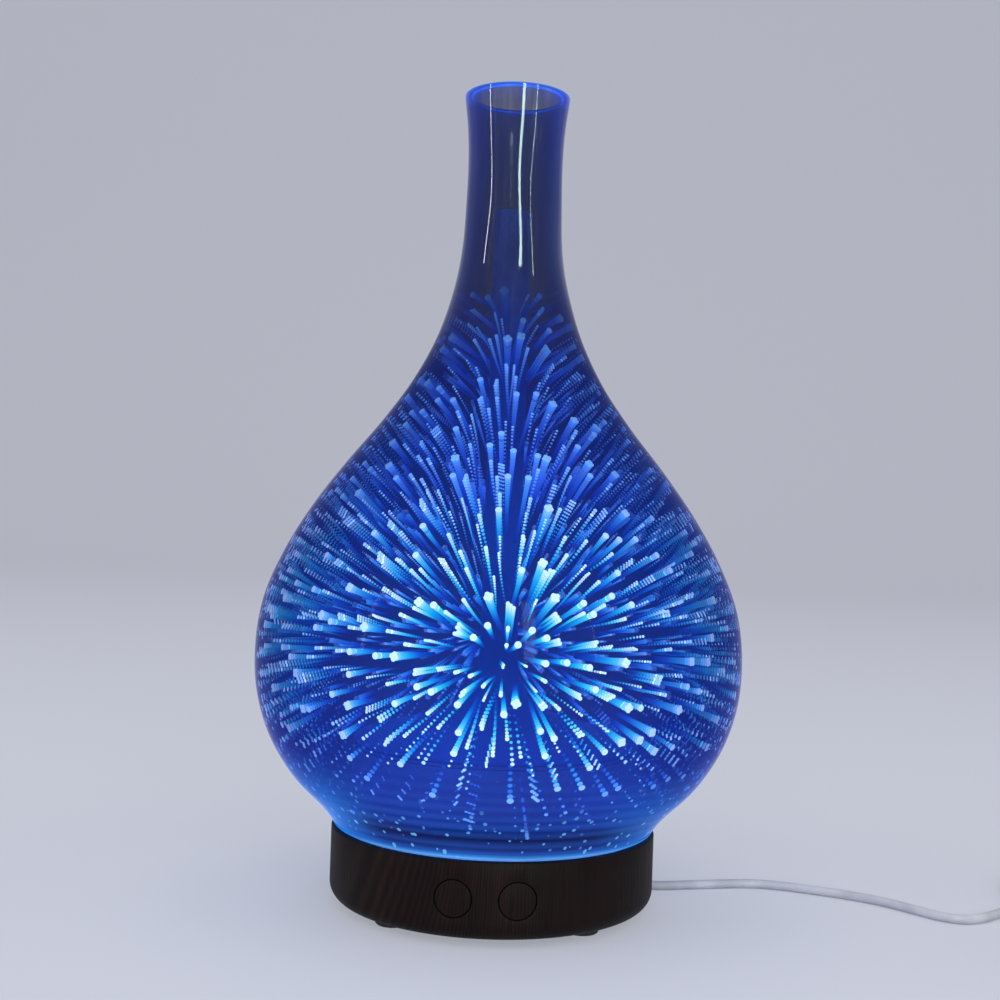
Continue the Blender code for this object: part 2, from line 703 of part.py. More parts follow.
def make_feet(material):
    """Rubber feet with a rounded rim."""
    shape = [
        (0.0, FOOT_HEIGHT),
        (FOOT_RADIUS, FOOT_HEIGHT),
        (FOOT_RADIUS, FOOT_HEIGHT / 3),
        (FOOT_RADIUS - FOOT_HEIGHT / 3, 0.0),
        (0.0, 0.0),
    ]
    for i, (x, y, _) in enumerate(round_places(FOOT_COUNT, FOOT_CIRCLE, math.pi / FOOT_COUNT)):
        foot = turned(f"foot_{i + 1}", shape, material, SMALL_STEPS, closed=False)
        foot.location = (x, y, COVER_BOTTOM - FIT_GAP - FOOT_HEIGHT)


def make_screw(name, length, head_face, x, y, material):
    """A pan-head screw pointing up: its head lies under head_face."""
    head_bottom = head_face - SCREW_HEAD_HEIGHT
    outline = [
        (0.0, head_face + length),
        (SCREW_RADIUS * SCREW_TIP_SHARE, head_face + length),
        (SCREW_RADIUS, head_face + length - SCREW_RADIUS),
        (SCREW_RADIUS, head_face),
        (SCREW_HEAD_RADIUS, head_face),
        (SCREW_HEAD_RADIUS, head_face - SCREW_HEAD_HEIGHT / 2),
        (SCREW_HEAD_RADIUS * SCREW_CROWN_SHARE, head_bottom),
        (0.0, head_bottom),
    ]
    screw = turned(name, outline, material, TINY_STEPS, closed=False)
    screw.location = (x, y, 0.0)
    slot_size = (4 * SCREW_HEAD_RADIUS, SCREW_SLOT_WIDTH, 2 * SCREW_SLOT_DEPTH)
    cut(screw, block(f"{name}_slot", slot_size, (x, y, head_bottom), None))


def make_cover_screws(material):
    """The four screws that pull the bottom cover up to the tank's posts."""
    for i, (x, y) in enumerate(post_places()):
        make_screw(f"cover_screw_{i + 1}", COVER_SCREW_LENGTH, COVER_BOTTOM - FIT_GAP, x, y, material)


# ---------------------------------------------------------------- tank
def make_tank(material):
    """Water tank: a wide drum on a narrower bowl, with the flange that seats it in the housing."""
    inner = TANK_RADIUS - TANK_WALL
    bowl_inner = TANK_BOWL_RADIUS - TANK_BOWL_WALL
    step = FLANGE_TOP + TANK_BOWL_STEP
    outline = [
        (0.0, TANK_FLOOR),
        (bowl_inner, TANK_FLOOR),
        (bowl_inner, step),
        (inner, step),
        (inner, TANK_RIM),
        (TANK_RADIUS, TANK_RIM),
        (TANK_RADIUS, FLANGE_TOP),
        (FLANGE_RADIUS, FLANGE_TOP),
        (FLANGE_RADIUS, FLANGE_BOTTOM),
        (TANK_BOWL_RADIUS, FLANGE_BOTTOM),
        (TANK_BOWL_RADIUS, TANK_UNDERSIDE),
        (0.0, TANK_UNDERSIDE),
    ]
    tank = turned("water_tank", outline, material, TURN_STEPS, closed=False)
    middle = TANK_FLOOR - TANK_FLOOR_THICKNESS / 2
    join(tank, upright_rod("duct_wall", DUCT_RADIUS, middle, DUCT_TOP, FAN_X, FAN_Y))
    for i, (x, y) in enumerate(post_places()):
        join(tank, upright_rod(f"tank_post_{i}", COVER_POST_RADIUS, DECK, middle, x, y, TINY_STEPS))
    for i, (x, y) in enumerate(clamp_places()):
        foot = CLAMP_TOP + FIT_GAP
        join(tank, upright_rod(f"clamp_boss_{i}", CLAMP_BOSS_RADIUS, foot, middle, x, y, TINY_STEPS))
    below = TANK_UNDERSIDE - TANK_FLOOR_THICKNESS
    above = TANK_FLOOR + TANK_FLOOR_THICKNESS
    cut(tank, upright_rod("duct_bore", DUCT_RADIUS - DUCT_WALL, below, DUCT_TOP + DUCT_WALL, FAN_X, FAN_Y))
    cut(tank, upright_rod("window_bore", TRANSDUCER_WINDOW, below, above, TRANSDUCER_X, TRANSDUCER_Y))
    for i, (x, y) in enumerate(post_places()):
        top = COVER_BOTTOM + COVER_SCREW_LENGTH + FIT_GAP
        cut(tank, upright_rod(f"tank_post_bore_{i}", BORE_RADIUS, COVER_BOTTOM, top, x, y, TINY_STEPS))
    for i, (x, y) in enumerate(clamp_places()):
        top = CLAMP_BOTTOM + CLAMP_SCREW_LENGTH
        cut(tank, upright_rod(f"clamp_boss_bore_{i}", BORE_RADIUS, CLAMP_BOTTOM, top, x, y, TINY_STEPS))
    return tank


def make_transducer(ceramic, rubber, steel):
    """The ultrasonic disc in its rubber seal, held up by a clamp ring and three screws."""
    place = (TRANSDUCER_X, TRANSDUCER_Y, 0.0)
    disc_outline = [
        (0.0, DISC_TOP),
        (TRANSDUCER_RADIUS, DISC_TOP),
        (TRANSDUCER_RADIUS, DISC_BOTTOM),
        (0.0, DISC_BOTTOM),
    ]
    disc = turned("transducer_disc", disc_outline, ceramic, closed=False)
    disc.location = place
    window = TRANSDUCER_WINDOW + SEAL_LIP
    lower_window = SEAL_INNER - 2 * SEAL_WALL
    seal_outline = [
        (window, SEAL_TOP),
        (SEAL_OUTER, SEAL_TOP),
        (SEAL_OUTER, SEAL_BOTTOM),
        (lower_window, SEAL_BOTTOM),
        (lower_window, DISC_BOTTOM - FIT_GAP),
        (SEAL_INNER, DISC_BOTTOM - FIT_GAP),
        (SEAL_INNER, DISC_TOP + FIT_GAP),
        (window, DISC_TOP + FIT_GAP),
    ]
    seal = turned("transducer_seal", seal_outline, rubber)
    seal.location = place
    clamp = ring("transducer_clamp", lower_window, CLAMP_RADIUS, CLAMP_BOTTOM, CLAMP_TOP, steel, RING_STEPS)
    clamp.location = place
    below = CLAMP_BOTTOM - CLAMP_THICKNESS
    above = CLAMP_TOP + CLAMP_THICKNESS
    for i, (x, y) in enumerate(clamp_places()):
        cut(clamp, upright_rod(f"clamp_hole_{i}", BORE_RADIUS, below, above, x, y, TINY_STEPS))
        make_screw(f"clamp_screw_{i + 1}", CLAMP_SCREW_LENGTH, CLAMP_BOTTOM - FIT_GAP, x, y, steel)


# ---------------------------------------------------------------- lights
def make_lights(board_material, led_material):
    """A ring board with small square lamps that shine up into the glass."""
    ring(
        "light_board",
        LED_BOARD_INNER,
        LED_BOARD_OUTER,
        LED_BOARD_BOTTOM,
        LED_BOARD_TOP,
        board_material,
        TURN_STEPS,
    )
    circle = (LED_BOARD_INNER + LED_BOARD_OUTER) / 2
    for i, (x, y, angle) in enumerate(round_places(LED_COUNT, circle, math.pi / LED_COUNT)):
        middle = LED_TOP - LED_THICKNESS / 2
        lamp = block(f"lamp_{i + 1}", (LED_SIDE, LED_SIDE, LED_THICKNESS), (x, y, middle), led_material)
        lamp.rotation_euler = (0.0, 0.0, angle)


# ---------------------------------------------------------------- fan
def make_fan(frame_material, rotor_material, foam_material):
    """A small axial fan under the air duct, with its rotor on a pin and a foam gasket above."""
    place = Vector((FAN_X, FAN_Y, 0.0))
    frame = block(
        "fan_frame",
        (FAN_SIDE, FAN_SIDE, FAN_HEIGHT),
        (FAN_X, FAN_Y, DECK + FAN_HEIGHT / 2),
        frame_material,
    )
    frame.rotation_euler = (0.0, 0.0, FAN_ANGLE)
    cut(frame, upright_rod("fan_bore", FAN_BORE_RADIUS, COVER_BOTTOM, FAN_TOP + FIT_GAP, FAN_X, FAN_Y))
    spider_bottom = DECK + 2 * FIT_GAP
    spider_top = spider_bottom + FAN_SPIDER
    for i in range(FAN_ARMS):
        angle = FAN_ANGLE + math.tau * i / FAN_ARMS
        reach = FAN_BORE_RADIUS + SINK
        arm = block(f"fan_arm_{i}", (reach, FAN_ARM_WIDTH, FAN_SPIDER), (0, 0, 0), None)
        outward = Vector((math.cos(angle), math.sin(angle), 0.0))
        arm.location = place + outward * reach / 2 + Vector((0.0, 0.0, (spider_bottom + spider_top) / 2))
        arm.rotation_euler = (0.0, 0.0, angle)
        join(frame, arm)
    base_bottom = spider_bottom - FIT_GAP
    base_top = spider_top + FIT_GAP
    join(frame, upright_rod("fan_motor_base", FAN_HUB_RADIUS, base_bottom, base_top, FAN_X, FAN_Y))
    rotor_bottom = spider_top + 2 * FIT_GAP
    rotor_top = FAN_TOP - FIT_GAP
    pin_top = rotor_top - 2 * FAN_SPIDER
    join(frame, upright_rod("fan_pin", FAN_PIN_RADIUS, spider_bottom, pin_top, FAN_X, FAN_Y, TINY_STEPS))
    bore = FAN_PIN_RADIUS + FIT_GAP
    hub_outline = [
        (0.0, rotor_top),
        (FAN_HUB_RADIUS - FAN_SPIDER / 2, rotor_top),
        (FAN_HUB_RADIUS, rotor_top - FAN_SPIDER / 2),
        (FAN_HUB_RADIUS, rotor_bottom),
        (bore, rotor_bottom),
        (bore, pin_top + FIT_GAP),
        (0.0, pin_top + FIT_GAP),
    ]
    rotor = turned("fan_rotor", hub_outline, rotor_material, closed=False)
    rotor.location = place
    tip = FAN_BORE_RADIUS - FAN_TIP_GAP
    blade_root = FAN_HUB_RADIUS - SINK
    blade_middle = (rotor_top + rotor_bottom) / 2
    rise = (rotor_top - rotor_bottom) * FAN_BLADE_SHARE / math.cos(FAN_BLADE_TILT)
    across = rise * math.sin(FAN_BLADE_TILT) + FAN_BLADE_THICKNESS * math.cos(FAN_BLADE_TILT)
    corner = math.sqrt(tip**2 - (across / 2) ** 2)
    for i in range(FAN_BLADES):
        angle = math.tau * (i + 0.5) / FAN_BLADES
        blade = block(f"fan_blade_{i}", (corner - blade_root, FAN_BLADE_THICKNESS, rise), (0, 0, 0), None)
        outward = Vector((math.cos(angle), math.sin(angle), 0.0))
        middle = place + outward * (corner + blade_root) / 2 + Vector((0.0, 0.0, blade_middle))
        turn = Matrix.Rotation(angle, 4, "Z") @ Matrix.Rotation(FAN_BLADE_TILT, 4, "X")
        blade.matrix_world = Matrix.Translation(middle) @ turn
        join(rotor, blade)
    gasket = ring(
        "fan_gasket",
        GASKET_RADIUS - GASKET_WALL,
        GASKET_RADIUS,
        FAN_TOP + FIT_GAP,
        TANK_UNDERSIDE - FIT_GAP,
        foam_material,
    )
    gasket.location = place


# ---------------------------------------------------------------- glass and inner cover
def make_glass(material):
    """The blown glass cover: a turned skin with a wall given inwards."""
    foot = (GLASS_FOOT, GLASS_BOTTOM)
    belly = (GLASS_BELLY, GLASS_BOTTOM + GLASS_BELLY_HEIGHT)
    neck = (GLASS_NECK, GLASS_BOTTOM + GLASS_NECK_HEIGHT)
    mouth = (GLASS_MOUTH, GLASS_TOP)
    spots = [foot, *between(foot, belly, GLASS_LOWER), belly, *between(belly, neck, GLASS_UPPER)]
    spots += [neck, *between(neck, mouth, GLASS_LIP), mouth]
    points = smooth_through(spots, GLASS_SAMPLES)
    outline = [(p[0], p[1]) for p in reversed(points)]
    glass = turned("glass_cover", outline, material, TURN_STEPS, closed=False)
    wall = glass.modifiers.new("wall", "SOLIDIFY")
    wall.thickness = GLASS_WALL
    wall.offset = -1.0
    wall.use_even_offset = True


def make_seat(material):
    """The soft ring that the glass cover stands on, inside the housing's lip."""
    inner = TANK_RADIUS + FIT_GAP
    ring("glass_seat", inner, FLANGE_RADIUS, SEAT_BOTTOM, SEAT_BOTTOM + SEAT_HEIGHT, material, TURN_STEPS)


def make_inner_cover(material, rubber):
    """The lid over the tank, drawn up into the long mist tube, and the seal under its rim."""
    skirt = TANK_RADIUS - TANK_WALL - FIT_GAP
    skirt_inner = skirt - INNER_COVER_WALL
    skirt_bottom = TANK_RIM - INNER_SKIRT_DEPTH
    seat = INNER_COVER_SEAT
    outside = [(MIST_TUBE_RADIUS, MIST_TUBE_TOP)]
    for radius, height in MIST_TUBE_FLARE:
        outside.append((radius * MIST_TUBE_RADIUS, INNER_COVER_CROWN + height * MIST_TUBE_RADIUS))
    for radius, height in (LID_SHOULDER, LID_EDGE):
        outside.append((radius * TANK_RADIUS, seat + height * INNER_COVER_RISE))
    outline = [
        (MIST_TUBE_RADIUS - INNER_COVER_WALL, MIST_TUBE_TOP),
        *outside,
        (TANK_RADIUS, seat + LID_RIM_HEIGHT),
        (TANK_RADIUS, seat),
        (skirt, seat),
        (skirt, skirt_bottom),
        (skirt_inner, skirt_bottom),
        (skirt_inner, seat),
        *reversed(set_in(outside, INNER_COVER_WALL)),
    ]
    turned("inner_cover", outline, material, LID_STEPS)
    seal_inner = skirt + FIT_GAP
    seal_top = INNER_SEAL_BOTTOM + INNER_SEAL_HEIGHT
    ring("inner_cover_seal", seal_inner, TANK_RADIUS, INNER_SEAL_BOTTOM, seal_top, rubber, LID_STEPS)


# ---------------------------------------------------------------- buttons
def make_button(index, side, cap_material, metal):
    """One button cap, flush with the round housing, and the plunger of its switch."""
    cap = rod(f"button_{index}", BUTTON_RADIUS, BUTTON_BACK + HOUSING_RADIUS, cap_material)
    cap.rotation_euler = (math.pi / 2, 0.0, 0.0)
    cap.location = (side * BUTTON_OFFSET, (BUTTON_BACK - HOUSING_RADIUS) / 2, BUTTON_HEIGHT)
    flange = rod(f"button_flange_{index}", BUTTON_RADIUS + BUTTON_FLANGE_REACH, BUTTON_FLANGE)
    flange.rotation_euler = (math.pi / 2, 0.0, 0.0)
    flange.location = (side * BUTTON_OFFSET, BUTTON_BACK - BUTTON_FLANGE / 2, BUTTON_HEIGHT)
    join(cap, flange)
    body = upright_rod(f"button_face_{index}", HOUSING_RADIUS, 0.0, HOUSING_TOP, 0.0, 0.0, 2 * TURN_STEPS)
    combine(cap, body, "INTERSECT")
    plunger = rod(f"switch_plunger_{index}", PLUNGER_RADIUS, PLUNGER_LENGTH, metal, TINY_STEPS)
    plunger.rotation_euler = (math.pi / 2, 0.0, 0.0)
    plunger.location = (side * BUTTON_OFFSET, PLUNGER_FRONT + PLUNGER_LENGTH / 2, BUTTON_HEIGHT)


def make_switch(index, side, material):
    """The body of a push switch, open in front for its plunger."""
    size = (SWITCH_SIDE, SWITCH_DEPTH, SWITCH_SIDE)
    middle = (SWITCH_FRONT + SWITCH_BACK) / 2
    body = block(f"switch_{index}", size, (side * BUTTON_OFFSET, middle, BUTTON_HEIGHT), material)
    depth = PLUNGER_LENGTH + FIT_GAP
    hole = rod(f"switch_hole_{index}", PLUNGER_RADIUS + FIT_GAP, 2 * depth, None, TINY_STEPS)
    hole.rotation_euler = (math.pi / 2, 0.0, 0.0)
    hole.location = (side * BUTTON_OFFSET, PLUNGER_FRONT + BUTTON_TRAVEL, BUTTON_HEIGHT)
    cut(body, hole)


def make_buttons(cap_material, metal, switch_material, board_material):
    """The two buttons, their switches and the upright board that holds them."""
    for index, side in ((1, -1), (2, 1)):
        make_button(index, side, cap_material, metal)
        make_switch(index, side, switch_material)
    height = BUTTON_BOARD_TOP - DECK
    middle = (0.0, BUTTON_BOARD_FRONT + BUTTON_BOARD_THICKNESS / 2, DECK + height / 2)
    block("button_board", (BUTTON_BOARD_WIDTH, BUTTON_BOARD_THICKNESS, height), middle, board_material)


# ---------------------------------------------------------------- electronics
def board_corners():
    """Where the standoffs carry the main board."""
    half_x = BOARD_LENGTH / 2 - STANDOFF_INSET
    half_y = BOARD_WIDTH / 2 - STANDOFF_INSET
    return [(BOARD_X + a * half_x, BOARD_Y + b * half_y) for a in (-1, 1) for b in (-1, 1)]


def on_board(place):
    """A place on the main board, from shares of its length and width."""
    return BOARD_X + place[0] * BOARD_LENGTH, BOARD_Y + place[1] * BOARD_WIDTH


def make_main_board(board_material, dark, metal, copper):
    """The main board with its inductor, capacitor, power transistor and wire header."""
    size = (BOARD_LENGTH, BOARD_WIDTH, BOARD_THICKNESS)
    block("main_board", size, (BOARD_X, BOARD_Y, (BOARD_BOTTOM + BOARD_TOP) / 2), board_material)
    low = PART_ON_BOARD
    high = low + INDUCTOR_HEIGHT
    inductor_outline = [
        (0.0, high),
        (INDUCTOR_RADIUS, high),
        (INDUCTOR_RADIUS, high - INDUCTOR_RIM),
        (INDUCTOR_WAIST, high - INDUCTOR_RIM),
        (INDUCTOR_WAIST, low + INDUCTOR_RIM),
        (INDUCTOR_RADIUS, low + INDUCTOR_RIM),
        (INDUCTOR_RADIUS, low),
        (0.0, low),
    ]
    inductor = turned("inductor", inductor_outline, copper, closed=False)
    inductor.location = (*on_board(INDUCTOR_PLACE), 0.0)
    top = low + CAPACITOR_HEIGHT
    edge = CAPACITOR_EDGE
    groove = low + CAPACITOR_GROOVE
    capacitor_outline = [
        (0.0, top),
        (CAPACITOR_RADIUS - edge, top),
        (CAPACITOR_RADIUS, top - edge),
        (CAPACITOR_RADIUS, groove + edge),
        (CAPACITOR_RADIUS - edge, groove),
        (CAPACITOR_RADIUS, groove - edge),
        (CAPACITOR_RADIUS, low),
        (0.0, low),
    ]
    capacitor = turned("capacitor", capacitor_outline, metal, closed=False)
    capacitor.location = (*on_board(CAPACITOR_PLACE), 0.0)
    length, width, height = TRANSISTOR_SIZE
    x, y = on_board(TRANSISTOR_PLACE)
    transistor = block("power_transistor", TRANSISTOR_SIZE, (x, y, low + height / 2), dark)
    tab_size = (length, width / 2, height / 3)
    join(transistor, block("transistor_tab", tab_size, (x + length / 2, y, low + height / 4), None))
    length, width, height = HEADER_SIZE
    x, y = on_board(HEADER_PLACE)
    header = block("wire_header", HEADER_SIZE, (x, y, low + height / 2), metal)
    pocket_size = (length - 2 * HEADER_WALL, width - 2 * HEADER_WALL, height)
    cut(header, block("header_pocket", pocket_size, (x, y, low + height / 2 + height / 3), None))


# ---------------------------------------------------------------- socket, plug and lead
def make_socket(material):
    """The power socket behind the end wall of the channel."""
    end = CHANNEL_START - CHANNEL_WALL - FIT_GAP
    start = end - SOCKET_LENGTH
    top = DECK + SOCKET_HEIGHT
    socket = channel_block("power_socket", start, end, SOCKET_WIDTH, DECK, top, material)
    depth = BARREL_LENGTH - CHANNEL_WALL
    bore = rod("socket_bore", BARREL_RADIUS + FIT_GAP, 2 * depth, None, TINY_STEPS)
    lay_along_channel(bore, end, SOCKET_AXIS)
    cut(socket, bore)


def relief_outline():
    """The outline of the plug's tapered, ribbed strain relief, from its tip down to the plug."""
    root = PLUG_RADIUS * RELIEF_ROOT_SHARE
    rib = RELIEF_LENGTH * RIB_SHARE
    tip = PLUG_LENGTH + RELIEF_LENGTH
    outline = [(0.0, tip), (RELIEF_RADIUS, tip)]
    for i in range(RELIEF_RIBS):
        outer = RELIEF_RADIUS + (root - RELIEF_RADIUS) * (i + 0.5) / RELIEF_RIBS
        high = tip - RELIEF_LENGTH * i / RELIEF_RIBS - rib
        outline.append((outer, high))
        outline.append((outer, high - rib))
        if i < RELIEF_RIBS - 1:
            outline.append((outer - SINK / 3, high - rib - FIT_GAP / 3))
    return [*outline, (root, PLUG_LENGTH)]


def make_dc_plug(material):
    """The plug that lies in the channel under the base, its barrel in the socket."""
    reach = BARREL_LENGTH - CHANNEL_WALL
    edge = SINK / 2
    outline = [
        *relief_outline(),
        (PLUG_RADIUS - edge, PLUG_LENGTH),
        (PLUG_RADIUS, PLUG_LENGTH - 2 * edge),
        (PLUG_RADIUS, 2 * edge),
        (PLUG_RADIUS - edge, 0.0),
        (BARREL_RADIUS, 0.0),
        (BARREL_RADIUS, -reach),
        (0.0, -reach),
    ]
    plug = turned("dc_plug", outline, material, closed=False)
    lay_along_channel(plug, PLUG_FRONT, SOCKET_AXIS)


def cord_route():
    """The lead's own points, from the plug's strain relief to the coil."""
    route = [along_channel(RELIEF_END + FIT_GAP, 0.0, SOCKET_AXIS)]
    route += [along_channel(distance, 0.0, height) for distance, height in CORD_DESCENT]
    route += [Vector((x, y, CORD_DIAMETER / 2)) for x, y in CORD_ON_TABLE]
    return route


def make_cord(material):
    """The lead: the stretch on the table, the wound coil with its tie, and the tail to the adapter."""
    route = cord_route()
    length = sum((b - a).length for a, b in zip(route, route[1:]))
    count = int(length / (CORD_POINT_SPACING * CORD_DIAMETER))
    tube("cord", smooth_through(route, count), CORD_DIAMETER / 2, material)
    edge = CORD_DIAMETER / 2
    outline = [
        (COIL_INNER, COIL_TOP - edge),
        (COIL_INNER + edge, COIL_TOP),
        (COIL_OUTER - edge, COIL_TOP),
        (COIL_OUTER, COIL_TOP - edge),
        (COIL_OUTER, COIL_LIFT + edge),
        (COIL_OUTER - edge, COIL_LIFT),
        (COIL_INNER + edge, COIL_LIFT),
        (COIL_INNER, COIL_LIFT + edge),
    ]
    coil = turned("cord_coil", outline, material, RING_STEPS)
    coil.location = (COIL_X, COIL_Y, 0.0)
    clear = COIL_OUTER + FIT_GAP + CORD_DIAMETER / 2
    side = ADAPTER_X - COIL_X
    start = COIL_Y - math.sqrt(clear**2 - side**2)
    tip = ADAPTER_RELIEF_END + FIT_GAP
    middle = (start + tip) / 2
    height = LEAD_HEIGHT_AT_ADAPTER
    tail = [
        (ADAPTER_X, start, height),
        (ADAPTER_X, middle, height),
        (ADAPTER_X, tip, height),
    ]
    tube("cord_tail", smooth_through(tail, TAIL_POINTS), CORD_DIAMETER / 2, material)


def make_tie(material):
    """The band that holds the coil's turns together."""
    hole_width = COIL_WIDTH + 2 * TIE_CLEARANCE
    hole_height = COIL_HEIGHT + FIT_GAP + TIE_CLEARANCE
    size = (hole_width + 2 * TIE_THICKNESS, TIE_WIDTH, hole_height + 2 * TIE_THICKNESS)
    outward = Vector((math.cos(TIE_ANGLE), math.sin(TIE_ANGLE), 0.0))
    place = Vector((COIL_X, COIL_Y, 0.0)) + outward * COIL_RADIUS
    middle = place + Vector((0.0, 0.0, size[2] / 2))
    tie = block("cord_tie", size, middle, material)
    tie.rotation_euler = (0.0, 0.0, TIE_ANGLE)
    hole = block("tie_hole", (hole_width, 2 * TIE_WIDTH, hole_height), middle, None)
    hole.rotation_euler = (0.0, 0.0, TIE_ANGLE)
    cut(tie, hole)


def make_adapter(material, relief_material, metal):
    """The wall adapter lying on its back, with two flat pins and the lead's strain relief."""
    size = (ADAPTER_WIDTH, ADAPTER_LENGTH, ADAPTER_HEIGHT)
    middle_y = ADAPTER_END - ADAPTER_LENGTH / 2
    body = block("adapter_body", size, (ADAPTER_X, middle_y, ADAPTER_HEIGHT / 2), material, ADAPTER_EDGE)
    pin_y = ADAPTER_END - ADAPTER_LENGTH + PIN_INSET
    for index, side in ((1, -1), (2, 1)):
        x = ADAPTER_X + side * PIN_SPACING / 2
        bottom = ADAPTER_HEIGHT - PIN_FOOT
        top = ADAPTER_HEIGHT + PIN_LENGTH
        size = (PIN_THICKNESS, PIN_WIDTH, top - bottom)
        block(f"adapter_pin_{index}", size, (x, pin_y, (bottom + top) / 2), metal, PIN_EDGE)
        pocket = (PIN_THICKNESS + 2 * FIT_GAP, PIN_WIDTH + 2 * FIT_GAP, 2 * PIN_FOOT + 2 * FIT_GAP)
        cut(body, block(f"pin_pocket_{index}", pocket, (x, pin_y, ADAPTER_HEIGHT), None))
    outline = [
        (0.0, ADAPTER_RELIEF_LENGTH - FIT_GAP),
        (ADAPTER_RELIEF_TIP_RADIUS, ADAPTER_RELIEF_LENGTH - FIT_GAP),
        ADAPTER_RELIEF_NECK,
        (ADAPTER_RELIEF_RADIUS, ADAPTER_RELIEF_COLLAR),
        (ADAPTER_RELIEF_RADIUS, 0.0),
        (0.0, 0.0),
    ]
    relief = turned("adapter_relief", outline, relief_material, closed=False)
    relief.location = (ADAPTER_X, ADAPTER_END + FIT_GAP, LEAD_HEIGHT_AT_ADAPTER)
    relief.rotation_euler = (-math.pi / 2, 0.0, 0.0)


# ---------------------------------------------------------------- assembly
def build():
    """Make every piece of the diffuser."""
    wood = make_material("wood_grain", (0.20, 0.13, 0.10), 0.55)
    white = make_material("white_plastic", (0.80, 0.82, 0.84), 0.40)
    dark = make_material("black_plastic", (0.03, 0.03, 0.035), 0.50)
    rubber = make_material("silicone", (0.70, 0.72, 0.75), 0.75)
    foot_rubber = make_material("black_rubber", (0.03, 0.03, 0.03), 0.85)
    glass = make_material("coated_glass", (0.10, 0.12, 0.55), 0.08)
    steel = make_material("steel", (0.60, 0.60, 0.62), 0.35, 1.0)
    brass = make_material("brass", (0.75, 0.60, 0.30), 0.35, 1.0)
    copper = make_material("copper", (0.70, 0.35, 0.20), 0.45, 1.0)
    circuit = make_material("circuit_board", (0.04, 0.22, 0.10), 0.55)
    lamp = make_material("lamp", (0.90, 0.95, 1.00), 0.30)
    lead = make_material("lead_sheath", (0.55, 0.57, 0.62), 0.55)
    make_housing(wood)
    make_bottom_cover(dark)
    make_feet(foot_rubber)
    make_cover_screws(steel)
    make_tank(white)
    make_transducer(brass, rubber, steel)
    make_lights(circuit, lamp)
    make_fan(dark, dark, foot_rubber)
    make_glass(glass)
    make_seat(rubber)
    make_inner_cover(white, rubber)
    make_buttons(wood, dark, steel, circuit)
    make_main_board(circuit, dark, steel, copper)
    make_socket(dark)
    make_dc_plug(dark)
    make_cord(lead)
    make_tie(dark)
    make_adapter(dark, dark, brass)


clear_scene()
PARTS = make_collection("essential_oil_diffuser")
CUTTERS = make_collection("cutters")
build()
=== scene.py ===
"""The finished look of an essential oil diffuser: a glass bulb full of blue light trails on a wood base."""

import json
import logging
import math
import random
from collections.abc import Callable, Iterable, Sequence
from dataclasses import dataclass, replace
from enum import Enum

import bpy
import numpy as np
from mathutils import Matrix, Vector

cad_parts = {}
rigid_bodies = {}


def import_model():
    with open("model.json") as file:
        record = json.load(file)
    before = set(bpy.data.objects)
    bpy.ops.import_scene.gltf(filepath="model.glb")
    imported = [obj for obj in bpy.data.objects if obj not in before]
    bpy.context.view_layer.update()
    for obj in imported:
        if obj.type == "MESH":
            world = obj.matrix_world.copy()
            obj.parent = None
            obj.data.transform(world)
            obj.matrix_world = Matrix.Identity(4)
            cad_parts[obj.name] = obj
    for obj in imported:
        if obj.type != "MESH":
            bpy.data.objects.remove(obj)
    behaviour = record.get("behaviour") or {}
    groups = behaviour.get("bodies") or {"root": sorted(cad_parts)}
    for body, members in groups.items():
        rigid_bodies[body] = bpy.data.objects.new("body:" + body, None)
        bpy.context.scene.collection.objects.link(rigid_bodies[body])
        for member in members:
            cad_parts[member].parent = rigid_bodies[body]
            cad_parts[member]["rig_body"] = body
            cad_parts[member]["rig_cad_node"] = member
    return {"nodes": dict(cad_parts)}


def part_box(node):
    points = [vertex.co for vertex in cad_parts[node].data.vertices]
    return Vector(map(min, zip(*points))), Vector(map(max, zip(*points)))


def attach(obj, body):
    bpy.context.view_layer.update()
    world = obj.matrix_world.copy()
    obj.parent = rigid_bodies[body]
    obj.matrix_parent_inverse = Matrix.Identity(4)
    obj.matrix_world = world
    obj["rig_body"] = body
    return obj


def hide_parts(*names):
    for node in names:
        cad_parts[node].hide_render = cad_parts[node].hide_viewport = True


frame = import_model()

LOG = logging.getLogger("diffuser")
Colour = tuple[float, float, float]
Span = tuple[float, float]
Stops = tuple[tuple[float, Colour], ...]
Socket = bpy.types.NodeSocket
Piece = bpy.types.Object
Material = bpy.types.Material


# ---- colours and shader maths
def paint(red: float, green: float, blue: float) -> Colour:
    """Turn a colour as it is seen, 0 to 255, into the linear one, 0 to 1, that a shader takes."""
    shares = (part / 255 for part in (red, green, blue))
    return tuple(s / 12.92 if s <= 0.04045 else ((s + 0.055) / 1.055) ** 2.4 for s in shares)


def painted(*stops: Sequence[float]) -> Stops:
    """Turn stops of place, red, green and blue as seen into places with linear colours."""
    return tuple((place, paint(*colour)) for place, *colour in stops)


def dulled(colour: Colour, share: float) -> Colour:
    """Return a share of a colour's light."""
    return tuple(part * share for part in colour)


def operator(operation: str, swapped: bool = False) -> Callable[["Num", "Num | float"], "Num"]:
    """Make a method of Num that takes one other number.

    Args:
        operation: the Math node's operation.
        swapped: whether the other number comes first, as in a reflected form.

    Returns:
        The method.
    """

    def method(self: "Num", other: "Num | float") -> "Num":
        """Return the two numbers' result."""
        return self.maths(operation, other, self) if swapped else self.maths(operation, self, other)

    return method


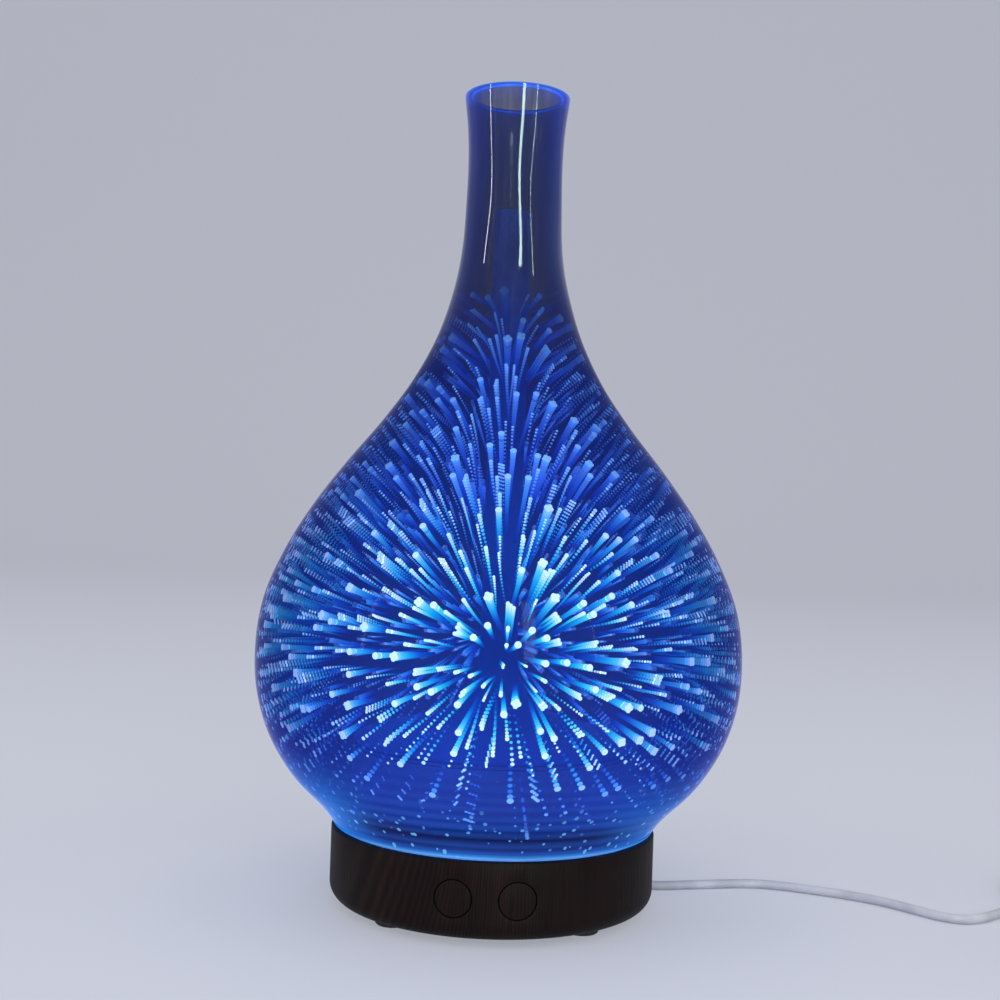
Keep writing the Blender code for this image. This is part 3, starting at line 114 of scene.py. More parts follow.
class Num:
    """A number that runs through a material's nodes, with Python's arithmetic on it."""

    __add__, __radd__ = operator("ADD"), operator("ADD", True)
    __sub__, __rsub__ = operator("SUBTRACT"), operator("SUBTRACT", True)
    __mul__, __rmul__ = operator("MULTIPLY"), operator("MULTIPLY", True)
    __truediv__, __rtruediv__ = operator("DIVIDE"), operator("DIVIDE", True)
    __pow__ = operator("POWER")
    below = operator("LESS_THAN")
    larger = operator("MAXIMUM")

    def __init__(self, tree: "Tree", socket: Socket) -> None:
        """Wrap one output socket of the tree."""
        self.tree = tree
        self.socket = socket

    def maths(self, operation: str, *values: "Num | float") -> "Num":
        """Add one Math node and return its result."""
        node = self.tree.node("ShaderNodeMath", dict(enumerate(values)), operation=operation)
        return Num(self.tree, node.outputs[0])

    def sine(self) -> "Num":
        """Return the sine of this number."""
        return self.maths("SINE", self)

    def wave(self) -> "Num":
        """Return the sine of this number, moved to 0 to 1."""
        return self.sine() * 0.5 + 0.5

    def unsigned(self) -> "Num":
        """Return the number without its sign."""
        return self.maths("ABSOLUTE", self)

    def fade(self, start: float, end: float) -> "Num":
        """Map start to 0 and end to 1, with a soft shoulder at both, and hold the rest at 0 and 1."""
        sockets = {0: self, 1: start, 2: end}
        node = self.tree.node("ShaderNodeMapRange", sockets, interpolation_type="SMOOTHSTEP")
        return Num(self.tree, node.outputs[0])


class Tree:
    """The nodes of one material, around its Principled shader."""

    def __init__(self, name: str) -> None:
        """Make an empty material of that name."""
        self.material = bpy.data.materials.new(name)
        self.material.use_nodes = True
        self.nodes = self.material.node_tree.nodes
        self.links = self.material.node_tree.links
        self.shader = self.nodes["Principled BSDF"]
        self.named = {one.name.lower().replace(" ", "_"): one for one in self.shader.inputs}

    def node(self, kind: str, sockets: dict[int | str, object], **settings: object) -> bpy.types.Node:
        """Add a node of any kind.

        Args:
            kind: the node's type.
            sockets: values or links for its inputs, by number or name.
            settings: its own settings, such as an operation.

        Returns:
            The new node.
        """
        made = self.nodes.new(kind)
        for name, value in settings.items():
            setattr(made, name, value)
        for key, value in sockets.items():
            self.feed(made.inputs[key], value)
        return made

    def feed(self, socket: Socket, value: object) -> None:
        """Link or set one input.

        Args:
            socket: the input.
            value: a number, a colour, a Num or an output socket.
        """
        value = value.socket if isinstance(value, Num) else value
        if isinstance(value, Socket):
            self.links.new(value, socket)
        elif socket.type == "RGBA" and len(value) == 3:
            socket.default_value = (*value, 1.0)
        else:
            socket.default_value = value

    def set(self, **inputs: object) -> None:
        """Feed inputs of the Principled shader, named with underscores for spaces."""
        for name, value in inputs.items():
            self.feed(self.named[name], value)

    def place(
        self,
        stretch: Sequence[float] = (1.0, 1.0, 1.0),
        turn: Sequence[float] = (0.0, 0.0, 0.0),
        move: Sequence[float] = (0.0, 0.0, 0.0),
    ) -> Socket:
        """Give the place on the piece, stretched, turned by radians and moved by metres for a pattern."""
        spot = self.node("ShaderNodeTexCoord", {}).outputs["Object"]
        return self.node("ShaderNodeMapping", {0: spot, 1: move, 2: turn, 3: stretch}).outputs[0]

    def axes(self, vector: Socket | None = None) -> tuple[Num, Num, Num]:
        """Split a vector, by default the place on the piece, into x, y and z."""
        vector = vector or self.node("ShaderNodeTexCoord", {}).outputs["Object"]
        node = self.node("ShaderNodeSeparateXYZ", {0: vector})
        return tuple(Num(self, out) for out in node.outputs)

    def attribute(self, name: str) -> Num:
        """Read a number that the mesh stores under that name."""
        return Num(self, self.node("ShaderNodeAttribute", {}, attribute_name=name).outputs["Fac"])

    def noise(self, scale: float, detail: float, twist: float = 0.0, **place: Sequence[float]) -> Num:
        """Add cloudy noise, mostly between 0.3 and 0.7, with scale clouds to a metre."""
        sockets = {"Vector": self.place(**place), "Scale": scale, "Detail": detail, "Distortion": twist}
        return Num(self, self.node("ShaderNodeTexNoise", sockets).outputs[0])

    def cells(self, scale: float, **place: Sequence[float]) -> Num:
        """Add the distance to the middle of random cells, of which there are scale to a metre."""
        sockets = {"Vector": self.place(**place), "Scale": scale}
        return Num(self, self.node("ShaderNodeTexVoronoi", sockets).outputs[0])

    def ramp(self, value: Num, stops: Stops) -> Socket:
        """Colour a number with a ramp.

        Args:
            value: the number.
            stops: places from 0 to 1 with their linear colours.

        Returns:
            The colour.
        """
        node = self.node("ShaderNodeValToRGB", {0: value})
        for place, _ in stops[2:]:
            node.color_ramp.elements.new(place)
        for element, (place, colour) in zip(node.color_ramp.elements, stops):
            element.position = place
            element.color = (*colour, 1.0)
        return node.outputs[0]

    def mix(self, share: Num | float, low: object, high: object, blend: str = "MIX") -> Socket:
        """Mix two colours, where share says how much of the second one there is."""
        sockets = {0: share, 6: low, 7: high}
        return self.node("ShaderNodeMix", sockets, data_type="RGBA", blend_type=blend).outputs[2]

    def bump(self, height: Num, strength: float, depth: float) -> None:
        """Raise the surface by a height of 0 to 1, where 1 is a depth in metres."""
        sockets = {"Height": height, "Strength": strength, "Distance": depth}
        self.set(normal=self.node("ShaderNodeBump", sockets).outputs[0])


# ---- finishes
@dataclass(frozen=True)
class Finish:
    """A procedural finish. Each kind fills its own tree of nodes."""

    name: str

    def build(self) -> Material:
        """Return the finish as a material."""
        tree = Tree(self.name)
        self.fill(tree)
        return tree.material

    def fill(self, tree: Tree) -> None:
        """Add the finish's nodes."""
        raise NotImplementedError


@dataclass(frozen=True)
class WoodGrain(Finish):
    """Dark brown wood grain: growth lines that stand close on one side and lean apart on the other."""

    name: str = "wood_grain"
    dark: Colour = paint(9, 4, 4)
    middle: Colour = paint(21, 11, 10)
    light: Colour = paint(44, 25, 19)
    start: float = -0.0460
    spread: float = 90000.0
    lean: float = 0.34
    leaning: Span = (-0.034, 0.012)

    def fill(self, tree: Tree) -> None:
        """Add growth lines, fine fibres, wide shades and pores."""
        across, back, height = tree.axes()
        warp = tree.noise(42.0, 2.0, stretch=(1.0, 1.0, 0.25))
        leaning = 1.0 - across.fade(*self.leaning)
        away = across - height * leaning * self.lean + back * 0.12 + (warp - 0.5) * 0.0060 - self.start
        lines = (away * away * self.spread).wave()
        fine = tree.noise(1000.0, 5.0, stretch=(1.0, 1.0, 0.06), turn=(0.0, 0.10, 0.0))
        pores = tree.noise(1900.0, 2.0, stretch=(1.0, 1.0, 0.035), turn=(0.0, 0.10, 0.0))
        wide = tree.noise(90.0, 2.0, stretch=(1.0, 1.0, 0.15), turn=(0.0, 0.20, 0.0))
        tone = lines * 0.26 + fine * 0.52 + wide * 0.50 - 0.20
        colour = tree.ramp(tone, ((0.0, self.dark), (0.45, self.middle), (1.0, self.light)))
        pore = pores.fade(0.60, 0.68)
        tree.set(base_color=tree.mix(pore * 0.75, colour, self.dark))
        tree.set(roughness=0.50 + fine * 0.18 - lines * 0.06, specular_ior_level=0.10)
        tree.bump(fine * 0.6 + lines * 0.30 - pore * 0.8, 0.5, 0.00012)


@dataclass(frozen=True)
class CoatedGlass(Finish):
    """Blue-lit coated glass: nearly closed over the bulb, clear up the neck, bright at foot and rim."""

    name: str = "coated_glass"
    closed: float = 0.80
    open: float = 0.72
    grazing: float = 0.94
    light: float = 1.0
    whole: Span = (0.0215, 0.216)
    foot_radius: float = 0.043
    painted_glint_zone: Span = (0.026, 0.042)
    painted_side_glow_zone: Span = (0.026, 0.046)
    low_zone: Span = (0.030, 0.050)
    neck_zone: Span = (0.136, 0.170)
    rim_zone: Span = (0.2151, 0.2159)
    mouth: Span = (0.0130, 0.0139)
    stops: Stops = painted(
        (0.000, 124, 208, 255),
        (0.003, 64, 156, 248),
        (0.006, 14, 66, 158),
        (0.012, 18, 50, 128),
        (0.022, 6, 24, 88),
        (0.033, 4, 13, 62),
        (0.046, 12, 46, 138),
        (0.080, 28, 54, 164),
        (0.140, 20, 46, 154),
        (0.240, 6, 42, 132),
        (0.400, 6, 38, 124),
        (0.560, 10, 32, 100),
        (0.700, 8, 26, 84),
        (0.860, 12, 38, 104),
        (0.975, 18, 44, 132),
        (0.994, 30, 72, 208),
        (1.000, 70, 130, 255),
    )

    def fill(self, tree: Tree) -> None:
        """Add the light in the glass, layer on layer, and how clear the glass is."""
        across, back, height = tree.axes()
        streaks = tree.noise(420.0, 2.0, stretch=(1.0, 1.0, 0.03))
        cloud = tree.noise(38.0, 2.0, 0.3)
        lines = tree.noise(620.0, 2.0, stretch=(0.02, 0.02, 1.0))
        rings = (height * 2400.0 + lines * 5.0).wave()
        # painted glints near the foot: small bright specks and larger flecks of light in the glass
        painted_glints = tree.cells(300.0, stretch=(1.0, 1.0, 0.6)).below(0.12)
        painted_glint_flecks = tree.cells(340.0, stretch=(1.0, 1.0, 0.4), turn=(0.3, 0.2, 0.0)).below(0.17)
        low = 1.0 - height.fade(*self.low_zone)
        neck = height.fade(*self.neck_zone)
        rim = height.fade(*self.rim_zone)
        inner_edge = 1.0 - ((across * across + back * back) ** 0.5).fade(*self.mouth)
        # painted limb glow: the lower left and right edges of the glass are lit azure, the left side brighter
        # than the right
        corner = (across / self.foot_radius).unsigned().fade(0.55, 0.98)
        corner = corner * (1.0 - height.fade(*self.painted_side_glow_zone))
        facing = Num(tree, tree.node("ShaderNodeLayerWeight", {0: 0.5}).outputs["Facing"])
        slant = facing.fade(0.06, 0.64)
        layers = (
            (0.18 * low * rings, paint(60, 124, 245)),
            (corner * (0.95 - across.fade(-0.02, 0.02) * 0.40), paint(20, 122, 232)),
            (painted_glints * low * 0.6, paint(96, 156, 255)),
            (painted_glint_flecks * (1.0 - height.fade(*self.painted_glint_zone)) * 0.85, paint(110, 190, 255)),
            (cloud.fade(0.35, 0.75) * 0.28, paint(24, 16, 92)),
            (rim * inner_edge * 0.8, paint(16, 40, 140)),
            (neck * (1.0 - rim) * (1.0 - slant) * 0.65, paint(8, 14, 30)),
            ((1.0 - neck) * (1.0 - low) * slant * 0.3, paint(3, 16, 76)),
        )
        foot, top = self.whole
        glow = tree.ramp((height - foot) / (top - foot), self.stops)
        for share, colour in layers:
            glow = tree.mix(share, glow, colour)
        clear = self.closed - neck * (self.closed - self.open) + neck * (streaks - 0.5) * 0.4
        clear = clear + slant * (self.grazing - clear)
        tree.set(base_color=paint(6, 8, 36), metallic=0.0, ior=1.06, specular_ior_level=0.3)
        tree.set(emission_color=glow, emission_strength=self.light)
        tree.set(roughness=0.03 + cloud * 0.03)
        tree.set(coat_weight=neck * 0.8 + 0.03, coat_roughness=0.02, coat_ior=1.5)
        tree.set(alpha=clear + rim * 0.35)


@dataclass(frozen=True)
class TrailLight(Finish):
    """Light of the dots: near white on their faces at the glass, through cyan and blue to navy further in."""

    name: str = "trail_light"
    strength: float = 9.0
    upper: Span = (0.094, 0.130)
    lower: Span = (0.034, 0.050)
    dimmed: Span = (0.116, 0.168)
    cyan: Stops = painted(
        (0.00, 236, 254, 255),
        (0.16, 206, 248, 255),
        (0.35, 84, 224, 248),
        (0.58, 0, 170, 222),
        (0.78, 0, 76, 176),
        (1.00, 4, 16, 88),
    )
    lilac: Stops = painted(
        (0.00, 140, 196, 255),
        (0.25, 92, 154, 255),
        (0.55, 50, 108, 250),
        (0.78, 24, 58, 190),
        (1.00, 10, 16, 88),
    )
    edge: Stops = painted((0.00, 66, 120, 245), (0.30, 46, 92, 230), (0.70, 24, 50, 172), (1.00, 10, 18, 84))
    dim: Stops = (
        (0.0, (1.0, 1.0, 1.0)),
        (0.5, (0.50, 0.53, 0.60)),
        (0.85, (0.11, 0.13, 0.18)),
        (1.0, (0.02, 0.03, 0.06)),
    )
    veil: Stops = ((0.0, (1.0, 1.0, 1.0)), (1.0, (0.46, 0.58, 0.76)))

    def fill(self, tree: Tree) -> None:
        """Colour the dots by how far in they are, their height and the side that shows."""
        depth = tree.attribute("depth")
        height = tree.axes()[2]
        ends = height.fade(*self.upper) + (1.0 - height.fade(*self.lower))
        share = ends * 0.85 + tree.attribute("shade")
        colour = tree.mix(share, tree.ramp(depth, self.cyan), tree.ramp(depth, self.lilac))
        colour = tree.mix(tree.attribute("side") * 0.9, colour, tree.ramp(depth, self.edge))
        dim = tree.ramp(height.fade(*self.dimmed), self.dim)
        colour = tree.mix(1.0, colour, dim, "MULTIPLY")
        veil = tree.ramp(tree.attribute("sunk"), self.veil)
        tree.set(base_color=paint(6, 10, 40), roughness=0.4, specular_ior_level=0.2)
        tree.set(emission_color=tree.mix(1.0, colour, veil, "MULTIPLY"), emission_strength=self.strength)


@dataclass(frozen=True)
class EdgeLight(Finish):
    """Blue light that leaves the glass along an edge, a little uneven round it."""

    name: str = "edge_light"
    strength: float = 4.5

    def fill(self, tree: Tree) -> None:
        """Add the uneven light."""
        uneven = tree.noise(160.0, 2.0).fade(0.30, 0.70)
        tree.set(base_color=paint(6, 10, 40), roughness=0.3, emission_strength=self.strength)
        tree.set(emission_color=tree.mix(uneven, paint(30, 70, 220), paint(52, 104, 255)))


@dataclass(frozen=True)
class Moulded(Finish):
    """Moulded plastic or rubber with a fine eroded texture, and a parting line where seam is a height."""

    colour: Colour
    roughness: float = 0.45
    grain: float = 0.00003
    scale: float = 1900.0
    milky: float = 0.0
    glow: Colour | None = None
    seam: float | None = None

    def fill(self, tree: Tree) -> None:
        """Add the clouds, the fine grain, and the light and the seam where there are any."""
        height = fine = tree.noise(self.scale, 3.0)
        cloud = tree.noise(70.0, 3.0)
        patches = cloud.fade(0.3, 0.7)
        tree.set(base_color=tree.mix(patches, self.colour, dulled(self.colour, 0.80)))
        tree.set(roughness=self.roughness + (fine - 0.5) * 0.25 + (cloud - 0.5) * 0.12)
        tree.set(subsurface_weight=self.milky, subsurface_scale=0.002)
        if self.glow:
            glow = tree.mix(patches, self.glow, dulled(self.glow, 0.55))
            tree.set(emission_color=glow, emission_strength=1.0)
        if self.seam is not None:
            groove = 1.0 - (tree.axes()[2] - self.seam).unsigned().fade(0.0001, 0.0003)
            height = fine - groove * 6.0
        tree.bump(height, 0.6, self.grain)


@dataclass(frozen=True)
class Metal(Finish):
    """Plain metal with the fine lines that its making leaves."""

    colour: Colour
    roughness: float = 0.28
    stretch: tuple[float, float, float] = (1.0, 1.0, 12.0)

    def fill(self, tree: Tree) -> None:
        """Add the lines and a faint stain."""
        lines = tree.noise(900.0, 3.0, stretch=self.stretch)
        stain = tree.noise(260.0, 4.0)
        colour = tree.mix(stain.fade(0.42, 0.72), self.colour, dulled(self.colour, 0.62))
        tree.set(base_color=colour, metallic=1.0)
        tree.set(roughness=self.roughness + (lines - 0.5) * 0.3 + stain * 0.08)
        tree.bump(lines, 0.4, 0.00002)


@dataclass(frozen=True)
class WoundCopper(Finish):
    """Enamelled copper wire wound round an upright core."""

    name: str = "wound_copper"
    wire: float = 0.0005

    def fill(self, tree: Tree) -> None:
        """Add the turns of wire with the dark gaps between them."""
        turns = (tree.axes()[2] * (2 * math.pi / self.wire)).wave()
        stain = tree.noise(500.0, 3.0)
        copper = tree.mix(stain, paint(184, 96, 48), paint(122, 58, 30))
        tree.set(base_color=tree.mix(turns.fade(0.0, 0.35), paint(44, 20, 12), copper), metallic=0.85)
        tree.set(roughness=0.30 + stain * 0.15)
        tree.bump(turns, 0.8, 0.0001)


@dataclass(frozen=True)
class CircuitBoard(Finish):
    """Printed board: solder mask, raised tracks and tinned pads."""

    mask: Colour
    tracks: Colour
    pitch: float = 2400.0

    def fill(self, tree: Tree) -> None:
        """Add tracks that run one way or the other by patches, and round pads."""
        across, back, up = tree.axes()
        wander = tree.noise(120.0, 1.0)
        lines = ((across + wander * 0.006) * self.pitch).sine().unsigned()
        other = ((back + up + wander * 0.006) * self.pitch).sine().unsigned()
        patch = tree.noise(90.0, 0.0).fade(0.47, 0.50)
        track = lines.below(0.42) * patch + other.below(0.42) * (1.0 - patch)
        pad = tree.cells(330.0).below(0.17)
        colour = tree.mix(track * 0.8, self.mask, self.tracks)
        tree.set(base_color=tree.mix(pad, colour, paint(196, 194, 184)), metallic=pad * 0.9)
        tree.set(roughness=0.34 + wander * 0.2 - pad * 0.1)
        tree.bump(track * 0.5 + pad, 0.5, 0.00005)


@dataclass(frozen=True)
class LampFace(Finish):
    """A white lamp package whose round phosphor spot gives blue light."""

    centre: tuple[float, float, float]
    spot: float = 0.0012
    strength: float = 5.0

    def fill(self, tree: Tree) -> None:
        """Add the lit spot round the lamp's centre."""
        across, back, _ = tree.axes(tree.place(move=[-part for part in self.centre]))
        away = (across * across + back * back) ** 0.5
        edge = 1.0 - away.fade(self.spot * 0.8, self.spot)
        grain = tree.noise(4000.0, 2.0)
        tree.set(base_color=tree.mix(edge, paint(226, 228, 232), paint(214, 206, 120)))
        tree.set(emission_color=tree.mix(edge, paint(8, 20, 80), paint(70, 140, 255)))
        tree.set(emission_strength=self.strength, roughness=0.30 + grain * 0.2)
        tree.bump(grain - edge, 0.5, 0.00004)


@dataclass(frozen=True)
class Sheath(Finish):
    """Thin pale plastic sheath of the lead, a little cloudy."""

    name: str = "lead_sheath"
    colour: Colour = paint(196, 198, 204)

    def fill(self, tree: Tree) -> None:
        """Add the clouds and the fine grain."""
        fine = tree.noise(2600.0, 2.0)
        cloud = tree.noise(130.0, 3.0)
        tree.set(base_color=tree.mix(cloud.fade(0.35, 0.68), self.colour, dulled(self.colour, 0.80)))
        tree.set(roughness=0.36 + cloud * 0.2, specular_ior_level=0.45)
        tree.bump(fine * 0.5 + cloud * 0.5, 0.4, 0.00004)


@dataclass(frozen=True)
class StudioPaint(Finish):
    """Pale matt paint of the floor and backdrop, which the camera also sees by its own light."""

    name: str = "studio_paint"
    colour: Colour = paint(206, 209, 220)
    seen: float = 0.50

    def fill(self, tree: Tree) -> None:
        """Blend the paint with its own light wherever it is seen and doesn't light anything."""
        cloud = tree.noise(3.0, 2.0)
        tree.set(base_color=self.colour, roughness=0.62 + cloud * 0.1, specular_ior_level=0.2)
        path = tree.node("ShaderNodeLightPath", {})
        light = tree.node("ShaderNodeEmission", {"Color": self.colour, "Strength": 1.0})
        kinds = ("Camera", "Glossy", "Transmission")
        camera, glossy, through = (Num(tree, path.outputs[f"Is {kind} Ray"]) for kind in kinds)
        share = camera.larger(glossy.larger(through)) * self.seen
        sockets = {0: share, 1: tree.shader.outputs[0], 2: light.outputs[0]}
        blend = tree.node("ShaderNodeMixShader", sockets)
        tree.links.new(blend.outputs[0], tree.nodes["Material Output"].inputs[0])


# ---- modelling
class Bench:
    """The workbench: modelling steps with Blender's own operators."""

    @staticmethod
    def clear() -> None:
        """Leave nothing selected."""
        bpy.ops.object.select_all(action="DESELECT")

    @staticmethod
    def take(piece: Piece) -> None:
        """Select one piece alone and make it the active one."""
        Bench.clear()
        piece.select_set(True)
        bpy.context.view_layer.objects.active = piece

    @staticmethod
    def edit(piece: Piece, action: str = "SELECT", mode: str = "VERT") -> None:
        """Open a piece in edit mode with all or nothing selected."""
        Bench.take(piece)
        bpy.ops.object.mode_set(mode="EDIT")
        bpy.ops.mesh.select_mode(type=mode)
        bpy.ops.mesh.select_all(action=action)

    @staticmethod
    def close() -> None:
        """Go back to object mode."""
        bpy.ops.object.mode_set(mode="OBJECT")

    @staticmethod
    def named(name: str) -> Piece:
        """Name the active object and its mesh, and return it."""
        piece = bpy.context.active_object
        piece.name = name
        piece.data.name = name
        return piece

    @staticmethod
    def pick(piece: Piece, test: Callable[[bpy.types.MeshVertex], bool]) -> None:
        """Select the points of an open piece that pass a test."""
        bpy.ops.object.mode_set(mode="OBJECT")
        for point in piece.data.vertices:
            point.select = test(point)
        bpy.ops.object.mode_set(mode="EDIT")

    @staticmethod
    def merge() -> None:
        """Merge the points of the open piece that coincide, and turn its faces outwards."""
        bpy.ops.mesh.select_all(action="SELECT")
        bpy.ops.mesh.remove_doubles(threshold=0.000002)
        bpy.ops.mesh.normals_make_consistent(inside=False)

    @staticmethod
    def turned(name: str, outline: Sequence[Sequence[float]], steps: int, closed: bool = True) -> Piece:
        """Draw a half outline and spin it round the Z axis.

        Args:
            name: the new piece's name.
            outline: radius and height of each point, in order.
            steps: how many facets go round.
            closed: whether the last point joins the first.

        Returns:
            The turned piece, in object mode.
        """
        Bench.clear()
        bpy.ops.mesh.primitive_plane_add(size=0.001, location=(0.0, 0.0, 0.0))
        piece = Bench.named(name)
        Bench.edit(piece)
        bpy.ops.mesh.merge(type="CENTER")
        bpy.ops.transform.translate(value=(outline[0][0], 0.0, outline[0][1]))
        for before, after in zip(outline, outline[1:]):
            step = (after[0] - before[0], 0.0, after[1] - before[1])
            bpy.ops.mesh.extrude_region_move(TRANSFORM_OT_translate={"value": step})
        if closed:
            Bench.pick(piece, lambda v: v.index in (0, len(outline) - 1))
            bpy.ops.mesh.edge_face_add()
        bpy.ops.mesh.select_all(action="SELECT")
        bpy.ops.mesh.spin(steps=steps, angle=2 * math.pi, center=(0.0, 0.0, 0.0), axis=(0.0, 0.0, 1.0))
        Bench.merge()
        Bench.close()
        return piece

    @staticmethod
    def face_out(piece: Piece) -> None:
        """Turn an open turned sheet so that its faces point away from the Z axis."""
        first = piece.data.polygons[0]
        if first.normal.xy.dot(first.center.xy) < 0:
            Bench.edit(piece)
            bpy.ops.mesh.flip_normals()
            Bench.close()

    @staticmethod
    def modify(piece: Piece, kind: str, **settings: object) -> None:
        """Add a modifier of a kind with its settings and apply it."""
        Bench.take(piece)
        modifier = piece.modifiers.new("step", kind)
        for name, value in settings.items():
            setattr(modifier, name, value)
        bpy.ops.object.modifier_apply(modifier=modifier.name)

    @staticmethod
    def combine(piece: Piece, tool: Piece, operation: str = "DIFFERENCE") -> None:
        """Cut, join or intersect a piece with a tool, which is then removed."""
        Bench.modify(piece, "BOOLEAN", object=tool, operation=operation, solver="EXACT")
        bpy.data.objects.remove(tool)

    @staticmethod
    def rod(name: str, radius: float, start: Sequence[float], end: Sequence[float], steps: int) -> Piece:
        """Add a round bar between two points.

        Args:
            name: the new piece's name.
            radius: its radius.
            start: the middle of its first end.
            end: the middle of its last end.
            steps: how many facets go round.

        Returns:
            The bar, with its place in its mesh.
        """
        Bench.clear()
        along = Vector(end) - Vector(start)
        turn = along.to_track_quat("Z", "Y").to_euler()
        middle = (Vector(start) + Vector(end)) / 2
        bpy.ops.mesh.primitive_cylinder_add(
            vertices=steps, radius=radius, depth=along.length, location=middle, rotation=turn
        )
        piece = Bench.named(name)
        Bench.settle(piece)
        return piece

    @staticmethod
    def settle(piece: Piece) -> None:
        """Put a piece's place, turn and size into its mesh."""
        Bench.take(piece)
        bpy.ops.object.transform_apply(location=True, rotation=True, scale=True)

    @staticmethod
    def smooth(piece: Piece, degrees: float) -> None:
        """Shade a piece smooth except at edges sharper than an angle."""
        Bench.take(piece)
        bpy.ops.object.shade_smooth_by_angle(angle=math.radians(degrees))

    @staticmethod
    def soften(piece: Piece, width: float, segments: int, sharp: float = 50.0, smooth: float = 30.0) -> None:
        """Round a piece's sharp edges and shade it smooth.

        Args:
            piece: the piece.
            width: the width of the rounding.
            segments: its number of steps.
            sharp: the angle in degrees past which an edge is rounded.
            smooth: the angle in degrees up to which faces are shaded as one.
        """
        limit = math.radians(sharp)
        Bench.modify(piece, "BEVEL", width=width, segments=segments, limit_method="ANGLE", angle_limit=limit)
        Bench.smooth(piece, smooth)

    @staticmethod
    def copied(node: str, name: str, bevel: float, degrees: float = 32.0) -> Piece:
        """Copy a CAD node, weld its loose triangles and round its edges.

        Args:
            node: the CAD node.
            name: the new piece's name.
            bevel: the width of the rounding.
            degrees: the angle past which an edge is rounded.

        Returns:
            The copy, with smooth shading.
        """
        Bench.take(frame["nodes"][node])
        bpy.ops.object.duplicate()
        piece = Bench.named(name)
        piece.parent = None
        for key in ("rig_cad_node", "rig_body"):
            del piece[key]
        Bench.edit(piece)
        bpy.ops.mesh.customdata_custom_splitnormals_clear()
        bpy.ops.mesh.remove_doubles(threshold=0.000003)
        bpy.ops.mesh.dissolve_limited(angle_limit=math.radians(1.0))
        Bench.close()
        Bench.soften(piece, bevel, 2, degrees, degrees)
        return piece


def dress(piece: Piece, finish: Material) -> Piece:
    """Give a whole piece or CAD node one finish, and return it."""
    if piece.data.materials:
        piece.data.materials.clear()
    piece.data.materials.append(finish)
    return piece


def seat_piece(
    piece: Piece, body: str, slot: str, replaces: Iterable[str] = ()
) -> Piece:
    """Let a finished piece ride on a body, and report it.

    Args:
        piece: the new piece.
        body: the CAD body that it moves with.
        slot: the name of a material slot; not used.
        replaces: the CAD nodes that it stands for.

    Returns:
        The same piece.
    """
    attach(piece, body)
    for node in replaces:
        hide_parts(node)
    LOG.info("%s rides on %s", piece.name, body)
    return piece


def smooth_line(points: Sequence[Sequence[float]], spacing: float) -> list[Vector]:
    """Draw one smooth curve through points.

    Args:
        points: the points, at least two.
        spacing: about how far apart the curve's own points are.

    Returns:
        The curve's points, evenly spaced, both ends included.
    """
    spots = np.array(points, float)
    reach = np.concatenate([[0.0], np.cumsum(np.linalg.norm(np.diff(spots, axis=0), axis=1))])
    slopes = np.gradient(spots, reach, axis=0)
    fine = np.linspace(0.0, reach[-1], 40 * len(spots))
    which = np.clip(np.searchsorted(reach, fine, side="right") - 1, 0, len(spots) - 2)
    span = (reach[which + 1] - reach[which])[:, None]
    t = (fine - reach[which])[:, None] / span
    line = spots[which] * (2 * t**3 - 3 * t**2 + 1) + slopes[which] * span * (t**3 - 2 * t**2 + t)
    line += spots[which + 1] * (3 * t**2 - 2 * t**3) + slopes[which + 1] * span * (t**3 - t**2)
    run = np.concatenate([[0.0], np.cumsum(np.linalg.norm(np.diff(line, axis=0), axis=1))])
    even = np.linspace(0.0, run[-1], max(2, round(run[-1] / spacing) + 1))
    return [Vector(p) for p in np.stack([np.interp(even, run, line[:, i]) for i in range(line.shape[1])], 1)]


def round_at(angle: float, reach: float = 1.0, height: float = 0.0) -> Vector:
    """Return the place at an angle round the Z axis."""
    return Vector((reach * math.cos(angle), reach * math.sin(angle), height))


def arc(across: float, up: float, radius: float, degrees: Iterable[float]) -> list[Span]:
    """Return the points at those angles round a middle."""
    angles = [math.radians(d) for d in degrees]
    return [(across + radius * math.cos(a), up + radius * math.sin(a)) for a in angles]


def linked(name: str, data: bpy.types.ID) -> Piece:
    """Put a new object with that name and data into the scene."""
    piece = bpy.data.objects.new(name, data)
    bpy.context.scene.collection.objects.link(piece)
    return piece


